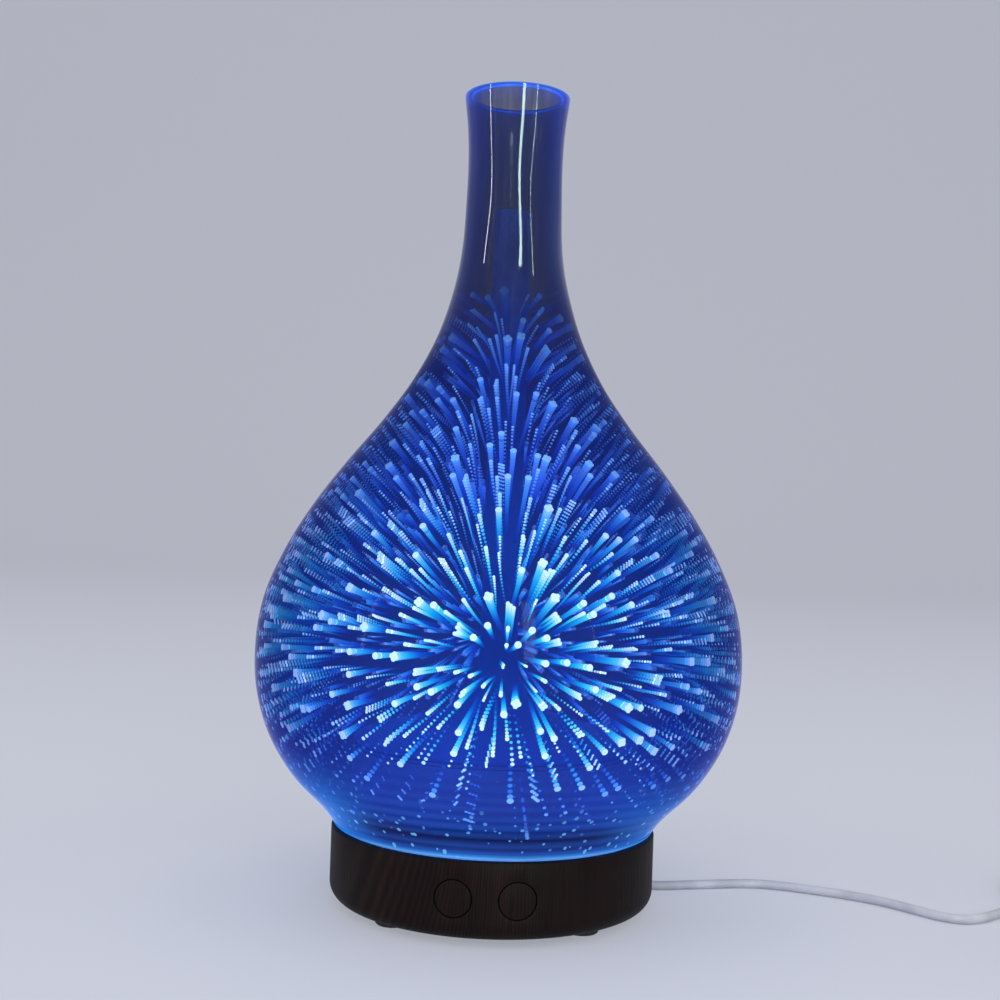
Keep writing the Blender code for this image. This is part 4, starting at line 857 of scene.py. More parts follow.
# ---- studio
@dataclass
class Studio:
    """Plain pale floor and backdrop, soft light and the camera."""

    distance: float = 0.3729
    height: float = 0.1031
    azimuth: float = math.radians(1.6)
    roll: float = math.radians(1.98)
    lens: float = 50.0
    shift: Span = (-0.0033, 0.0179)
    floor: float = 6.0
    wall: float = 3.0
    bend: float = 1.0
    drop: float = 0.0001
    aim: tuple[float, float, float] = (0.0, 0.0, 0.1)
    room: tuple[float, ...] = (0.80, 0.82, 0.88, 1.0)
    room_strength: float = 0.45

    def make_camera(self) -> None:
        """Set up the camera, level and a little rolled."""
        data = bpy.data.cameras.new("camera")
        data.lens = self.lens
        data.sensor_width = 36.0
        data.shift_x, data.shift_y = self.shift
        data.clip_start = 0.01
        camera = linked("camera", data)
        away = Vector((math.sin(self.azimuth), -math.cos(self.azimuth), 0.0))
        turn = (-away).to_track_quat("-Z", "Y").to_matrix() @ Matrix.Rotation(self.roll, 3, "Z")
        place = away * self.distance + Vector((0, 0, self.height))
        camera.matrix_world = Matrix.Translation(place) @ turn.to_4x4()
        bpy.context.scene.camera = camera

    def make_sweep(self) -> None:
        """Build the floor with its backdrop, one sheet with a wide bend."""
        Bench.clear()
        bpy.ops.mesh.primitive_plane_add(size=self.floor, location=(0.0, 0.0, -self.drop))
        sweep = Bench.named("sweep")
        Bench.settle(sweep)
        Bench.edit(sweep, "DESELECT")
        Bench.pick(sweep, lambda v: v.co.y > 0)
        bpy.ops.mesh.extrude_region_move(TRANSFORM_OT_translate={"value": (0.0, 0.0, self.wall)})
        Bench.pick(sweep, lambda v: v.co.y > 0 and v.co.z < self.wall / 2)
        bpy.ops.mesh.bevel(offset=self.bend, segments=16, affect="EDGES")
        Bench.close()
        Bench.smooth(sweep, 60.0)
        dress(sweep, StudioPaint().build())

    def make_lamps(self) -> None:
        """Hang four wide soft boxes, and three tinted strips that only give the neck its upright shine."""
        plain, mint, lilac = (0.97, 0.98, 1.0), (0.72, 1.0, 0.93), (0.82, 0.80, 1.0)
        boxes = (
            ("box_above", (0.0, -0.3, 1.5), (1.6, 1.6), 9.0, plain),
            ("box_left", (-1.3, -0.7, 0.9), (1.0, 1.2), 5.0, plain),
            ("box_right", (1.4, -0.5, 0.9), (0.9, 1.2), 4.0, plain),
            ("box_front", (0.1, -1.0, 0.42), (0.9, 0.5), 5.4, plain),
            ("strip_left", (-0.87, -0.50, 0.42), (0.034, 0.6), 1.8, lilac),
            ("strip_middle", (0.26, -0.97, 0.42), (0.100, 0.6), 5.6, mint),
            ("strip_right", (0.70, -0.72, 0.42), (0.016, 0.6), 1.0, mint),
        )
        for name, place, size, power, colour in boxes:
            data = bpy.data.lights.new(name, "AREA")
            data.shape = "RECTANGLE"
            data.size, data.size_y = size
            data.energy = power
            data.color = colour
            lamp = linked(name, data)
            lamp.location = place
            lamp.rotation_euler = (Vector(self.aim) - Vector(place)).to_track_quat("-Z", "Y").to_euler()
            lamp.visible_glossy = colour != plain
            lamp.visible_diffuse = colour == plain
            lamp.visible_camera = False

    def build(self) -> None:
        """Make the whole studio, filled with even pale light."""
        bpy.context.scene.view_settings.view_transform = "Standard"
        self.make_camera()
        self.make_sweep()
        self.make_lamps()
        world = bpy.data.worlds.new("room")
        world.use_nodes = True
        ground = world.node_tree.nodes["Background"]
        ground.inputs["Color"].default_value = self.room
        ground.inputs["Strength"].default_value = self.room_strength
        bpy.context.scene.world = world


# ---- lead
@dataclass
class Lead:
    """The lead: out of the channel, over the table, round its coil and into the adapter's relief.

    The start and the descent are given by reach and height along the channel, the table run and the
    coil's middle by x and y, the run over the coil by x and y from its middle, and the coil's rows by
    the radius of each turn.
    """

    length: float = 1.5
    diameter: float = 0.0025
    channel: float = math.radians(22.0)
    descent: tuple[Span, ...] = (
        (0.0288, 0.0064), (0.0315, 0.00635), (0.0340, 0.00595), (0.0375, 0.00500),
        (0.0415, 0.00350), (0.0455, 0.00205), (0.0495, 0.00140),
    )
    table: tuple[Span, ...] = (
        (0.0525, 0.0205), (0.0594, 0.0223), (0.0660, 0.0241), (0.0714, 0.0252), (0.0775, 0.0252),
        (0.0843, 0.0235), (0.0915, 0.0207), (0.0980, 0.0179), (0.1042, 0.0143), (0.1101, 0.0096),
        (0.1154, 0.0039), (0.1204, -0.0008), (0.1252, -0.0025), (0.1299, -0.0009), (0.1343, 0.0025),
        (0.1388, 0.0070), (0.1427, 0.0130), (0.1457, 0.0200), (0.1471, 0.0290), (0.1504, 0.0383),
    )
    coil: Span = (0.1700, 0.0260)
    over: tuple[Span, ...] = ((0.0030, 0.0091), (0.0080, 0.0082), (0.0124, 0.0054), (0.0154, 0.0010))
    fall: tuple[tuple[float, ...], ...] = ((-0.0002, -0.0040, 0.0), (0.0, -0.0095, -0.0004))
    inlet: float = 0.0035
    entry_rise: tuple[float, ...] = (0.0010, 0.0002, 0.0, 0.0)
    lift: float = 0.0008
    first_angle: float = math.radians(148.0)
    jog: float = math.radians(84.0)
    climb: float = math.radians(46.0)
    leave: float = math.radians(50.0)
    tuck: float = 0.0012
    pace: float = 0.9
    turn_points: int = 30
    climb_points: int = 8
    rows: tuple[tuple[float, ...], ...] = (
        (0.0200, 0.0175, 0.0150, 0.0125, 0.0100),
        (0.01125, 0.01375, 0.01625, 0.01875),
        (0.0200, 0.0175, 0.0150, 0.0125, 0.0100),
    )

    def free_run(self) -> list[Vector]:
        """Return the route from the strain relief to the coil."""
        out = round_at(self.channel)
        spots = [out * reach + Vector((0.0, 0.0, up)) for reach, up in self.descent]
        return spots + [Vector((x, y, self.diameter / 2)) for x, y in self.table]

    def wound(self) -> list[Vector]:
        """Return the route round the coil, row on row, with a slow step from each turn to the next."""
        rise = self.diameter * math.sqrt(3) / 2
        bottom = self.lift + self.diameter / 2
        turns = [(radius, bottom + rise * row) for row, radii in enumerate(self.rows) for radius in radii]
        arrival = (Vector(self.table[-1]) - Vector(self.coil)).length
        spots = []
        for number, (radius, height) in enumerate(turns):
            after = turns[min(number + 1, len(turns) - 1)]
            for step in range(self.turn_points):
                angle = 2 * math.pi * step / self.turn_points
                out = self.ease((angle - 2 * math.pi + self.jog) / self.jog)
                wide = radius + (after[0] - radius) * out
                high = height + (after[1] - height) * out
                if number == 0:
                    start = self.ease(1.0 - angle / self.jog)
                    wide += (arrival - wide) * start
                    high += (self.diameter / 2 - high) * start
                if number == len(turns) - 1 and angle > 2 * math.pi - self.climb:
                    break
                spots.append(self.on_coil(angle, wide, high))
        radius, height = turns[-1]
        for step in range(self.climb_points + 1):
            share = self.ease(step / self.climb_points)
            angle = 2 * math.pi - self.climb + (self.climb + self.leave) * step / self.climb_points
            spots.append(self.on_coil(angle, radius - self.tuck * share, height + self.diameter * share))
        return spots[1:]

    @staticmethod
    def ease(share: float) -> float:
        """Return a share of the way with a slow start and end, held to 0 to 1."""
        share = min(1.0, max(0.0, share))
        return share * share * (3 - 2 * share)

    def on_coil(self, turned: float, radius: float, height: float) -> Vector:
        """Return the place on the coil after a clockwise turn from its first angle."""
        x, y = self.coil
        angle = self.first_angle - turned
        return Vector((x + radius * math.cos(angle), y + radius * math.sin(angle), height))

    def last_run(self) -> list[Vector]:
        """Return the route over the top of the coil and down into the adapter's strain relief."""
        low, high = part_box("cord_tail")
        across = (low.x + high.x) / 2
        level = (low.z + high.z) / 2
        x, y = self.coil
        top = self.lift + self.diameter * (1.5 + math.sqrt(3))
        spots = [(x + right, y + back, top) for right, back in self.over]
        spots += [(across + right, y + back, top + up) for right, back, up in self.fall]
        entry = (high.y, high.y - self.inlet, low.y + self.inlet, low.y)
        spots += [(across, back, level + up) for back, up in zip(entry, self.entry_rise)]
        return [Vector(spot) for spot in spots]

    def build(self) -> None:
        line = smooth_line(self.free_run() + self.wound() + self.last_run(), self.diameter * self.pace)
        for spot in line:
            spot.z = max(spot.z, self.diameter / 2)
        curve = bpy.data.curves.new("lead", "CURVE")
        curve.dimensions = "3D"
        curve.bevel_depth = self.diameter / 2
        curve.bevel_resolution = 3
        curve.use_fill_caps = True
        spline = curve.splines.new("POLY")
        spline.points.add(len(line) - 1)
        for point, spot in zip(spline.points, line):
            point.co = (*spot, 1.0)
        spline.use_smooth = True
        lead = dress(linked("lead", curve), Sheath().build())
        seat_piece(lead, "base", "lead_sheath", ("cord", "cord_coil", "cord_tail"))
        tuple(line[0])


@dataclass
class Adapter:
    """The wall adapter at the lead's far end, its relief and pins, and the coil's tie."""

    edge: float = 0.00015
    seam_share: float = 0.62

    def build(self) -> None:
        """Make the pieces on the lead."""
        low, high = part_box("adapter_body")
        seam = low.z + (high.z - low.z) * self.seam_share
        shell = Moulded("adapter_plastic", paint(30, 31, 34), 0.42, 0.00004, 1500.0, seam=seam).build()
        brass = Metal("pin_brass", paint(214, 178, 104), 0.24).build()
        for ending, finish in (("body", shell), ("relief", shell), ("pin_1", brass), ("pin_2", brass)):
            name = f"adapter_{ending}"
            dress(frame["nodes"][name], finish)
            LOG.info("%s keeps its shape", name)
        band = Moulded("tie_band", paint(24, 24, 27), 0.62, 0.00008, 2600.0).build()
        tie = dress(Bench.copied("cord_tie", "coil_tie", self.edge), band)
        seat_piece(tie, "base", "black_plastic", ("cord_tie",))


# ---- glass cover
@dataclass
class GlassCover:
    """The blown bulb with its long neck, one skin with a wall given inwards."""

    wall: float = 0.0022
    steps: int = 144
    spacing: float = 0.0022
    lip: float = 0.0005
    edge_line: float = 0.00030
    edge_inset: Span = (0.0002, 0.0004)
    ripple: float = 0.00016
    ripple_waves: Span = (4.0, 11.0)
    rippled: Span = (0.130, 0.213)
    outline: tuple[Span, ...] = (
        (0.0423, 0.0215), (0.0433, 0.0233), (0.0451, 0.0256), (0.0540, 0.0348), (0.0607, 0.0460),
        (0.0638, 0.0566), (0.0645, 0.0670), (0.0627, 0.0806), (0.0579, 0.0926), (0.0510, 0.1046),
        (0.0423, 0.1166), (0.0327, 0.1286), (0.0245, 0.1406), (0.0194, 0.1510), (0.0160, 0.1620),
        (0.0136, 0.1740), (0.0127, 0.1880), (0.0128, 0.2020), (0.0133, 0.2090), (0.0142, 0.2160),
    )

    def line(self) -> list[Vector]:
        """Return the outer line from foot to mouth, smooth and evenly spaced."""
        return smooth_line(self.outline, self.spacing)

    def ripple_at(self, place: Vector) -> float:
        """Return how far the blown neck strays from round at a place, fading out at both ends of its zone."""
        low, high = self.rippled
        share = min(1.0, max(0.0, (place.z - low) / (high - low)))
        around, upwards = self.ripple_waves
        turn = around * math.atan2(place.y, place.x) + upwards * share
        return self.ripple * math.sin(math.pi * share) * math.sin(turn)

    def build(self) -> None:
        """Make the glass and let it ride on its body."""
        glass = Bench.turned("glass_bulb", self.line(), self.steps, closed=False)
        Bench.face_out(glass)
        for point in glass.data.vertices:
            point.co.xy *= 1.0 + self.ripple_at(point.co) / point.co.xy.length
        dress(glass, CoatedGlass().build())
        inner = CoatedGlass("inner_glass", closed=0.45, open=0.40, grazing=0.60, light=0.8)
        glass.data.materials.append(inner.build())
        shell = {"thickness": self.wall, "offset": -1.0, "use_even_offset": True, "material_offset": 1}
        Bench.modify(glass, "SOLIDIFY", **shell)
        Bench.soften(glass, self.lip, 3, smooth=45.0)
        seat_piece(glass, "glass", "coated_glass", ("glass_cover",))
        self.make_edge_light()

    def make_edge_light(self) -> None:
        """Lay the line of light that shows along the inner edge of the mouth."""
        reach, top = self.outline[-1]
        across, up = reach - self.wall + self.edge_inset[0], top - self.edge_inset[1]
        ring = arc(across, up, self.edge_line, range(0, 360, 60))
        line = Bench.turned("edge_light", ring, self.steps)
        Bench.smooth(line, 80.0)
        seat_piece(dress(line, EdgeLight().build()), "glass", "coated_glass")


@dataclass(frozen=True)
class DotShape:
    """A kind of dot: its size, its outline, its share of all trails, its spacing and how late it dims."""

    radius: float
    sides: int
    lobes: float
    share: float
    step: float
    dimming: float


class Dot(Enum):
    """The kinds of dots in the light trails."""

    FINE = DotShape(0.00034, 6, 0.0, 0.37, 0.00088, 1.0)
    ROUND = DotShape(0.00052, 6, 0.0, 0.31, 0.00080, 0.85)
    BOLD = DotShape(0.00084, 8, 0.0, 0.22, 0.00058, 0.55)
    CLUSTER = DotShape(0.00120, 12, 0.24, 0.10, 0.00050, 0.55)


@dataclass(frozen=True)
class Trail:
    """One row of dots: where it starts, how far it runs in, is drawn and bends aside, and its dots."""

    kind: Dot
    start: Vector
    inwards: Vector
    drawn: Vector
    aside: Vector
    count: int
    shade: float
    delays: Span = (1.3, 2.0)

    def spot(self, share: float) -> Vector:
        """Return the place at a share of the way in, drawn a little late and bent aside later."""
        late, later = self.delays
        return self.start + self.inwards * share + self.drawn * share**late + self.aside * share**later


@dataclass
class StarTrails:
    """Rows of glowing dots that run inwards from the glass, each one parallel to it: the lit spots of the
    glass's mirror coating and their painted reflections, receding inwards.
    """

    glass: GlassCover
    seed: int = 20
    gap: float = 0.0052
    jitter: Span = (0.36, 0.42)
    lengths: Span = (0.0080, 0.0160)
    thickness: float = 0.00016
    first: float = 0.00045
    wall: float = 0.0020
    lowest: float = 0.0262
    highest: float = 0.164
    sparse: Span = (0.0270, 0.0420)
    left_out: float = 0.80
    beaded: Span = (0.0360, 0.0640)
    bead_gap: float = 1.1
    bead_short: float = 0.35
    bead_radius: float = 0.0015
    bluer: Span = (0.0260, 0.0500)
    shades: Span = (0.15, 0.55)
    star_height: float = 0.0715
    star_turn: float = math.radians(4.0)
    pull: float = 0.42
    far: float = 0.0220
    bright: float = 0.0360
    bend: float = 0.0014
    beside: float = 1.6
    twins: Span = (0.68, 0.20, 0.12)
    taper: float = 0.52
    nearest: float = 1e-6
    tank: Span = (0.0402, 0.0440)
    crown: tuple[float, float, float] = (0.0548, 0.0085, 0.036)
    tube: float = 0.0066

    def dot_shape(self, kind: Dot) -> tuple[np.ndarray, list[tuple[int, ...]]]:
        """Model one dot: a flat face towards +Z, drawn out to a low point behind.

        Args:
            kind: the kind of dot.

        Returns:
            Its points and its faces, the flat one first.
        """
        shape = kind.value
        Bench.clear()
        bpy.ops.mesh.primitive_circle_add(vertices=shape.sides, radius=shape.radius, fill_type="NGON")
        dot = Bench.named("dot")
        if shape.lobes:
            inner = 1.0 - shape.lobes
            Bench.edit(dot, "DESELECT")
            Bench.pick(dot, lambda v: v.index % 3 == 0)
            bpy.ops.transform.resize(value=(inner, inner, 1.0), center_override=(0.0, 0.0, 0.0))
            Bench.close()
        Bench.edit(dot, mode="FACE")
        bpy.ops.mesh.duplicate()
        bpy.ops.mesh.poke()
        Bench.pick(dot, lambda v: v.co.length < shape.radius / 4)
        bpy.ops.transform.translate(value=(0.0, 0.0, -self.thickness))
        Bench.merge()
        Bench.close()
        points = np.array([v.co for v in dot.data.vertices])
        faces = sorted((tuple(f.vertices) for f in dot.data.polygons), key=len, reverse=True)
        bpy.data.objects.remove(dot)
        return points, faces

    def blocked(self, radius: float, height: float) -> bool:
        """Say whether a place is in or close to the inner cover, the mist tube or the tank."""
        tank_radius, tank_top = self.tank
        if height < tank_top:
            return radius < tank_radius
        top, drop, wide = self.crown
        crown = top - drop * min(1.0, (radius / wide) ** 2)
        return radius < self.tube or (height < crown and radius < tank_radius)

    def drawn_in(self, place: Vector, angle: float) -> tuple[Vector, float]:
        """Draw a trail towards the middle of the nearest of four stars, front, back, left and right.

        Args:
            place: where the trail starts.
            angle: its direction round the Z axis.

        Returns:
            The shift of the trail's far end, and how far the trail starts from that star's middle.
        """
        quarter = math.pi / 2
        middle = round((angle - self.star_turn) / quarter) * quarter + self.star_turn
        axis = round_at(middle)
        offset = place - Vector((0.0, 0.0, self.star_height))
        offset -= axis * offset.dot(axis)
        held = min(1.0, self.far / max(offset.length, self.nearest))
        grown = 0.5 + 0.5 * min(1.0, offset.length / self.far)
        return offset * (-self.pull * held * grown * math.cos(2 * (angle - middle)) ** 2), offset.length

    def weight(self, kind: Dot, low: float, off_star: float) -> float:
        """Return how often a kind of dot is drawn: bolder near a star's middle, finer near the foot."""
        near = max(0.0, 1.0 - off_star / self.bright)
        bolder = 1.0 - 0.5 * near if kind is Dot.FINE else 1.0 + near
        return kind.value.share * bolder * (1.0 - low * kind.value.radius / self.bead_radius)

    @staticmethod
    def lowness(height: float, zone: Span) -> float:
        """Return how far down a height is in a zone, 0 at its top to 1 at its bottom."""
        low, high = zone
        return min(1.0, max(0.0, (high - height) / (high - low)))

    def trails(self, dice: random.Random) -> Iterable[Trail]:
        """Spread the trails over the glass, row by row.

        Args:
            dice: the seeded source of chance.

        Yields:
            Each trail.
        """
        line = self.glass.line()
        reach = self.gap / 2
        travelled = 0.0
        for before, after in zip(line, line[1:]):
            travelled += (after - before).length
            if not self.lowest < after[1] < self.highest or travelled < reach:
                continue
            reach += self.gap
            count = max(5, round(2 * math.pi * after[0] / self.gap))
            turn = dice.random()
            around = self.jitter[0]
            for number in range(count):
                angle = 2 * math.pi * (number + turn + dice.uniform(-around, around)) / count
                yield from self.bundle(dice, after, (after - before).normalized(), angle)

    def bundle(self, dice: random.Random, spot: Vector, along: Vector, angle: float) -> Iterable[Trail]:
        """Start one trail, or a few side by side, unless chance leaves the place near the foot out.

        Args:
            dice: the seeded source of chance.
            spot: radius and height of the row.
            along: the glass's direction there.
            angle: the direction round the Z axis.

        Yields:
            Each trail.
        """
        slip = dice.uniform(-self.jitter[1], self.jitter[1]) * self.gap
        radius = spot[0] + along[0] * slip
        height = spot[1] + along[1] * slip
        low = self.lowness(height, self.beaded)
        if dice.random() < self.left_out * self.lowness(height, self.sparse):
            return
        out = round_at(angle, along[1], -along[0])
        aside = Vector((-math.sin(angle), math.cos(angle), 0.0)) * dice.uniform(-1.0, 1.0)
        aside.z = dice.uniform(-0.5, 0.5)
        place = round_at(angle, radius, height) - out * self.first
        drawn, off_star = self.drawn_in(place, angle)
        kind = dice.choices(list(Dot), [self.weight(one, low, off_star) for one in Dot])[0]
        step = kind.value.step * (1.0 + self.bead_gap * low)
        length = dice.uniform(*self.lengths) * (1.0 - self.bead_short * low)
        count = round(math.hypot(length, drawn.length) / step)
        chance, blue = self.shades
        shade = chance * dice.random() + blue * (1.0 - self.lowness(off_star, self.bluer))
        trail = Trail(kind, place, -out * length, drawn, aside * self.bend, count, shade)
        yield trail
        if kind in (Dot.FINE, Dot.ROUND):
            beside = out.cross(aside).normalized() * kind.value.radius * self.beside
            for twin in range(1, dice.choices((1, 2, 3), self.twins)[0]):
                yield replace(trail, start=place + beside * twin)

    def build(self) -> None:
        """Make the trails, one piece for each kind of dot."""
        dice = random.Random(self.seed)
        shapes = {kind: self.dot_shape(kind) for kind in Dot}
        points = {kind: [] for kind in Dot}
        marks = {kind: [] for kind in Dot}
        for trail in self.trails(dice):
            kind = trail.kind
            spin = Matrix.Rotation(dice.uniform(0.0, math.pi), 3, "Z")
            turn = np.array((-trail.inwards).to_track_quat("Z", "Y").to_matrix() @ spin)
            for number in range(trail.count):
                share = number / trail.count
                spot = trail.spot(share)
                if self.blocked(spot.xy.length, spot.z):
                    break
                dimmed = share**kind.value.dimming
                size = 1.0 - self.taper * dimmed
                sunk = float(self.first + trail.inwards.length * share < self.wall)
                points[kind].append(shapes[kind][0] * (size, size, 1.0) @ turn.T + np.array(spot))
                marks[kind].append((dimmed, trail.shade, sunk))
        light = TrailLight().build()
        for kind in Dot:
            self.gather(f"trails_{kind.name.lower()}", points[kind], marks[kind], shapes[kind][1], light)

    def gather(
        self,
        name: str,
        points: list[np.ndarray],
        marks: list[tuple[float, float, float]],
        faces: list[tuple[int, ...]],
        light: Material,
    ) -> None:
        """Bring all dots of one kind together in one piece.

        Args:
            name: the piece's name.
            points: each dot's points.
            marks: each dot's share of the way in, its shade, and 1 if it is sunk in the glass.
            faces: one dot's faces, the flat one first.
            light: the material.
        """
        each = len(points[0])
        dots = range(len(points))
        loops = [[each * dot + corner for corner in face] for dot in dots for face in faces]
        mesh = bpy.data.meshes.new(name)
        mesh.from_pydata(np.concatenate(points).tolist(), [], loops)
        columns = dict(zip(("depth", "shade", "sunk"), np.repeat(np.array(marks), len(faces), axis=0).T))
        columns["side"] = np.tile([0.0] + [1.0] * (len(faces) - 1), len(points))
        for label, values in columns.items():
            store = mesh.attributes.new(label, "FLOAT", "FACE")
            store.data.foreach_set("value", values.astype(np.float32))
        seat_piece(dress(linked(name, mesh), light), "glass", "coated_glass")
        LOG.info("%s holds %d dots, %d faces", name, len(points), len(loops))


# ---- base
@dataclass
class WoodBase:
    """The round wood-grain housing, its two flush buttons and the soft ring under the glass."""

    radius: float = 0.0430
    bore: float = 0.0408
    top: float = 0.0210
    bottom: float = 0.0017
    corner: float = 0.0045
    edge: float = 0.0004
    steps: int = 144
    ledges: tuple[Span, ...] = ((0.0385, 0.0017), (0.0385, 0.0034), (0.0366, 0.0034), (0.0366, 0.0046))
    rib: tuple[Span, ...] = ((0.0400, 0.0164), (0.0400, 0.0170))
    rib_ends: Span = (0.0150, 0.0172)
    side: Span = (0.0160, 0.0110)
    corner_end: float = 0.0386
    corner_steps: int = 12
    seat_radius: float = 0.0385
    button_radius: float = 0.0044
    button_offset: float = 0.00776
    button_height: float = 0.0120
    button_gap: float = 0.0003
    button_steps: int = 72
    flange: float = 0.0008
    hole_reach: Span = (-0.030, -0.050)
    housing_rounding: float = 0.00018
    cap_rounding: float = 0.00022
    seat_rounding: float = 0.00015
    bore_edge: float = 0.0002
    edge_turn: float = 0.3
    past: float = 0.002
    flush: float = 0.00005
    notch: tuple[float, float, float] = (0.0110, 0.0040, 0.0058)
    notch_reach: float = 0.0408
    channel: float = math.radians(22.0)

    def corner_line(self) -> list[Span]:
        """Return the rounded lower corner from the side to the underside, as far in as the ledge."""
        across, up = self.radius - self.corner, self.bottom + self.corner
        steps = self.corner_steps
        spots = arc(across, up, self.corner, [-90.0 * step / steps for step in range(steps + 1)])
        return [spot for spot in spots if spot[0] > self.corner_end]

    def button_rod(self, name: str, radius: float, sign: int, start: float, end: float) -> Piece:
        """Add a round bar on a button's axis, between two places along Y."""
        x = sign * self.button_offset
        ends = (x, start, self.button_height), (x, end, self.button_height)
        return Bench.rod(name, radius, *ends, self.button_steps)

    def make_housing(self) -> Piece:
        """Turn the housing, with the ledges inside, and cut the button holes and the lead's notch."""
        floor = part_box("housing")[0].z
        inside = [(x, max(z, floor)) for x, z in self.ledges] + [(self.bore, self.ledges[-1][1])]
        inside += [(self.bore, self.rib_ends[0]), *self.rib, (self.bore, self.rib_ends[1])]
        rim = [
            (self.bore, self.top - self.bore_edge),
            (self.bore + self.bore_edge, self.top),
            (self.radius - self.edge, self.top),
            (self.radius - self.edge * self.edge_turn, self.top - self.edge * self.edge_turn),
            (self.radius, self.top - self.edge),
        ]
        outline = rim + [(self.radius, height) for height in self.side] + self.corner_line() + inside
        housing = Bench.turned("wood_housing", outline, self.steps)
        for sign in (-1, 1):
            hole = self.button_rod("hole", self.button_radius + self.button_gap, sign, *self.hole_reach)
            Bench.combine(housing, hole)
        Bench.combine(housing, self.notch_tool())
        Bench.soften(housing, self.housing_rounding, 2)
        return housing

    def notch_tool(self) -> Piece:
        """Make the block that cuts the lead's notch."""
        length, width, height = self.notch
        middle = round_at(self.channel) * self.notch_reach + Vector((0.0, 0.0, height / 2 - self.past))
        Bench.clear()
        bpy.ops.mesh.primitive_cube_add(size=1.0, location=middle, rotation=(0.0, 0.0, self.channel))
        tool = Bench.named("notch_tool")
        tool.scale = (length, width, height + 2 * self.past)
        Bench.settle(tool)
        return tool

    def make_button(self, number: int, sign: int) -> Piece:
        """Make one button: a round cap whose face follows the housing, with a fine rounded edge."""
        low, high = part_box(f"button_{number}")
        inner = high.y - self.flange
        outer = -self.radius - self.past
        cap = self.button_rod(f"button_cap_{number}", self.button_radius, sign, inner, outer)
        Bench.combine(cap, self.button_rod("flange", (high.x - low.x) / 2, sign, high.y, inner), "UNION")
        middle = (0.0, 0.0, 0.0), (0.0, 0.0, self.top)
        round_body = Bench.rod("body", self.radius - self.flush, *middle, 2 * self.steps)
        Bench.combine(cap, round_body, "INTERSECT")
        Bench.soften(cap, self.cap_rounding, 3, 40.0)
        return cap

    def make_seat(self) -> Piece:
        """Turn the soft ring that the glass stands on."""
        low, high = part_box("glass_seat")
        reach = self.seat_radius
        outline = [(reach, low.z), (high.x, low.z), (high.x, high.z), (reach, high.z)]
        seat = Bench.turned("seat_ring", outline, self.steps)
        Bench.soften(seat, self.seat_rounding, 2)
        return seat

    def build(self) -> None:
        """Make and dress the base."""
        wood = WoodGrain().build()
        seat_piece(dress(self.make_housing(), wood), "base", "wood_grain", ("housing",))
        cap_wood = WoodGrain("button_wood", start=-0.0470, lean=0.42).build()
        for number, sign in ((1, -1), (2, 1)):
            cap = dress(self.make_button(number, sign), cap_wood)
            seat_piece(cap, f"button_{number}", "wood_grain", (f"button_{number}",))
        # the ring glows with painted light of the LEDs beneath it
        glow = Moulded("lit_silicone", paint(150, 190, 225), 0.35, 0.00002, 1500.0, glow=paint(22, 84, 176))
        seat_piece(dress(self.make_seat(), glow.build()), "base", "silicone", ("glass_seat",))


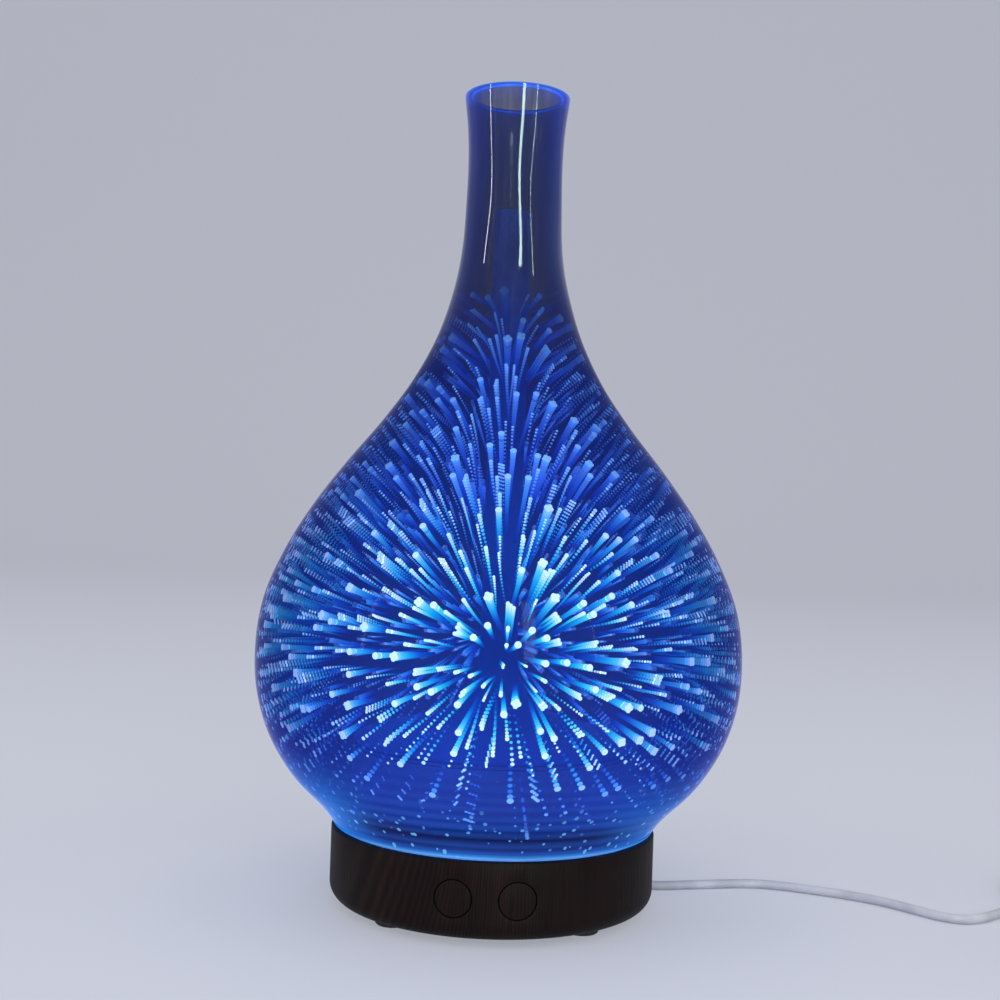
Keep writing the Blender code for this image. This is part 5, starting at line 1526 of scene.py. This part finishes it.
# ---- inside and underside
@dataclass
class Inside:
    """Everything in and under the base that keeps its CAD shape and gets its own finish."""

    edge: float = 0.0002

    def finishes(self) -> dict[str, Material]:
        """Make the finishes of the CAD nodes that stay, by the start of their names."""
        dark = Moulded("dark_plastic", paint(26, 27, 30), 0.48)
        steel = Metal("steel", paint(176, 178, 182))
        chosen = {
            "inner_cover_seal": Moulded("clear_silicone", paint(196, 200, 204), 0.40, 0.00002, 1500.0, 0.2),
            "bottom_cover": dark,
            "fan_frame": dark,
            "fan_rotor": Moulded("fan_plastic", paint(18, 19, 21), 0.36),
            "fan_gasket": Moulded("foam", paint(38, 39, 42), 0.95, 0.00030, 1400.0),
            "power_socket": dark,
            "dc_plug": Moulded("plug_plastic", paint(20, 20, 22), 0.52),
            "power_transistor": Moulded("chip_plastic", paint(22, 22, 24), 0.58),
            "wire_header": Moulded("header_plastic", paint(224, 220, 206), 0.42),
            "switch_plunger": Moulded("plunger_plastic", paint(40, 42, 46), 0.40),
            "switch": steel,
            "cover_screw": steel,
            "clamp_screw": steel,
            "transducer_disc": Metal("ceramic_disc", paint(206, 196, 176), 0.36, (12.0, 1.0, 1.0)),
            "transducer_seal": Moulded("soft_rubber", paint(34, 34, 36), 0.78, 0.00006),
            "transducer_clamp": steel,
            "capacitor": Metal("capacitor_can", paint(186, 190, 196), 0.22),
            "inductor": WoundCopper(),
            "button_board": CircuitBoard("button_board_mask", paint(20, 64, 36), paint(34, 92, 52)),
            "main_board": CircuitBoard("main_board_mask", paint(16, 72, 40), paint(34, 104, 58)),
            "light_board": CircuitBoard("light_board_mask", paint(222, 224, 226), paint(200, 204, 210)),
        }
        return {start: finish.build() for start, finish in chosen.items()}

    def make_copies(self) -> None:
        """Round off the lid with its mist tube, the tank and the feet, which keep their CAD shapes."""
        # the lid and the tank glow with painted blue light of the LEDs
        lit = paint(30, 58, 156)
        cover = Moulded("cover_plastic", paint(132, 156, 216), 0.28, 0.00002, 1300.0, 0.1, lit).build()
        lit = paint(16, 34, 92)
        tank = Moulded("tank_plastic", paint(198, 208, 228), 0.30, 0.00001, 1300.0, 0.15, lit).build()
        rubber = Moulded("foot_rubber", paint(40, 40, 43), 0.80, 0.00006, 1700.0).build()
        copies = [
            ("inner_cover", "mist_cover", 50.0, "inner_cover", "tank_plastic", cover),
            ("water_tank", "tank_shell", 34.0, "base", "tank_plastic", tank),
        ]
        copies += [(f"foot_{n}", f"foot_pad_{n}", 32.0, "base", "foot_rubber", rubber) for n in range(1, 5)]
        for node, name, degrees, body, slot, finish in copies:
            seat_piece(dress(Bench.copied(node, name, self.edge, degrees), finish), body, slot, (node,))

    def build(self) -> None:
        """Make the copies, and dress every CAD node that still shows."""
        chosen = self.finishes()
        self.make_copies()
        for name, node in sorted(frame["nodes"].items()):
            if node.hide_render or name.startswith("adapter"):
                continue
            if name.startswith("lamp_"):
                low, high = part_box(name)
                dress(node, LampFace(f"lamp_face_{name[5:]}", tuple((low + high) / 2)).build())
            else:
                start = max((key for key in chosen if name.startswith(key)), key=len)
                dress(node, chosen[start])
            LOG.info("%s keeps its shape", name)


def main() -> None:
    """Build the studio and every sub-assembly, in order."""
    logging.basicConfig(level=logging.INFO, format="%(name)s: %(message)s")
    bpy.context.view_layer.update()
    Studio().build()
    Adapter().build()
    Lead().build()
    glass = GlassCover()
    glass.build()
    StarTrails(glass).build()
    WoodBase().build()
    Inside().build()
    Bench.clear()


if __name__ == "__main__":
    main()
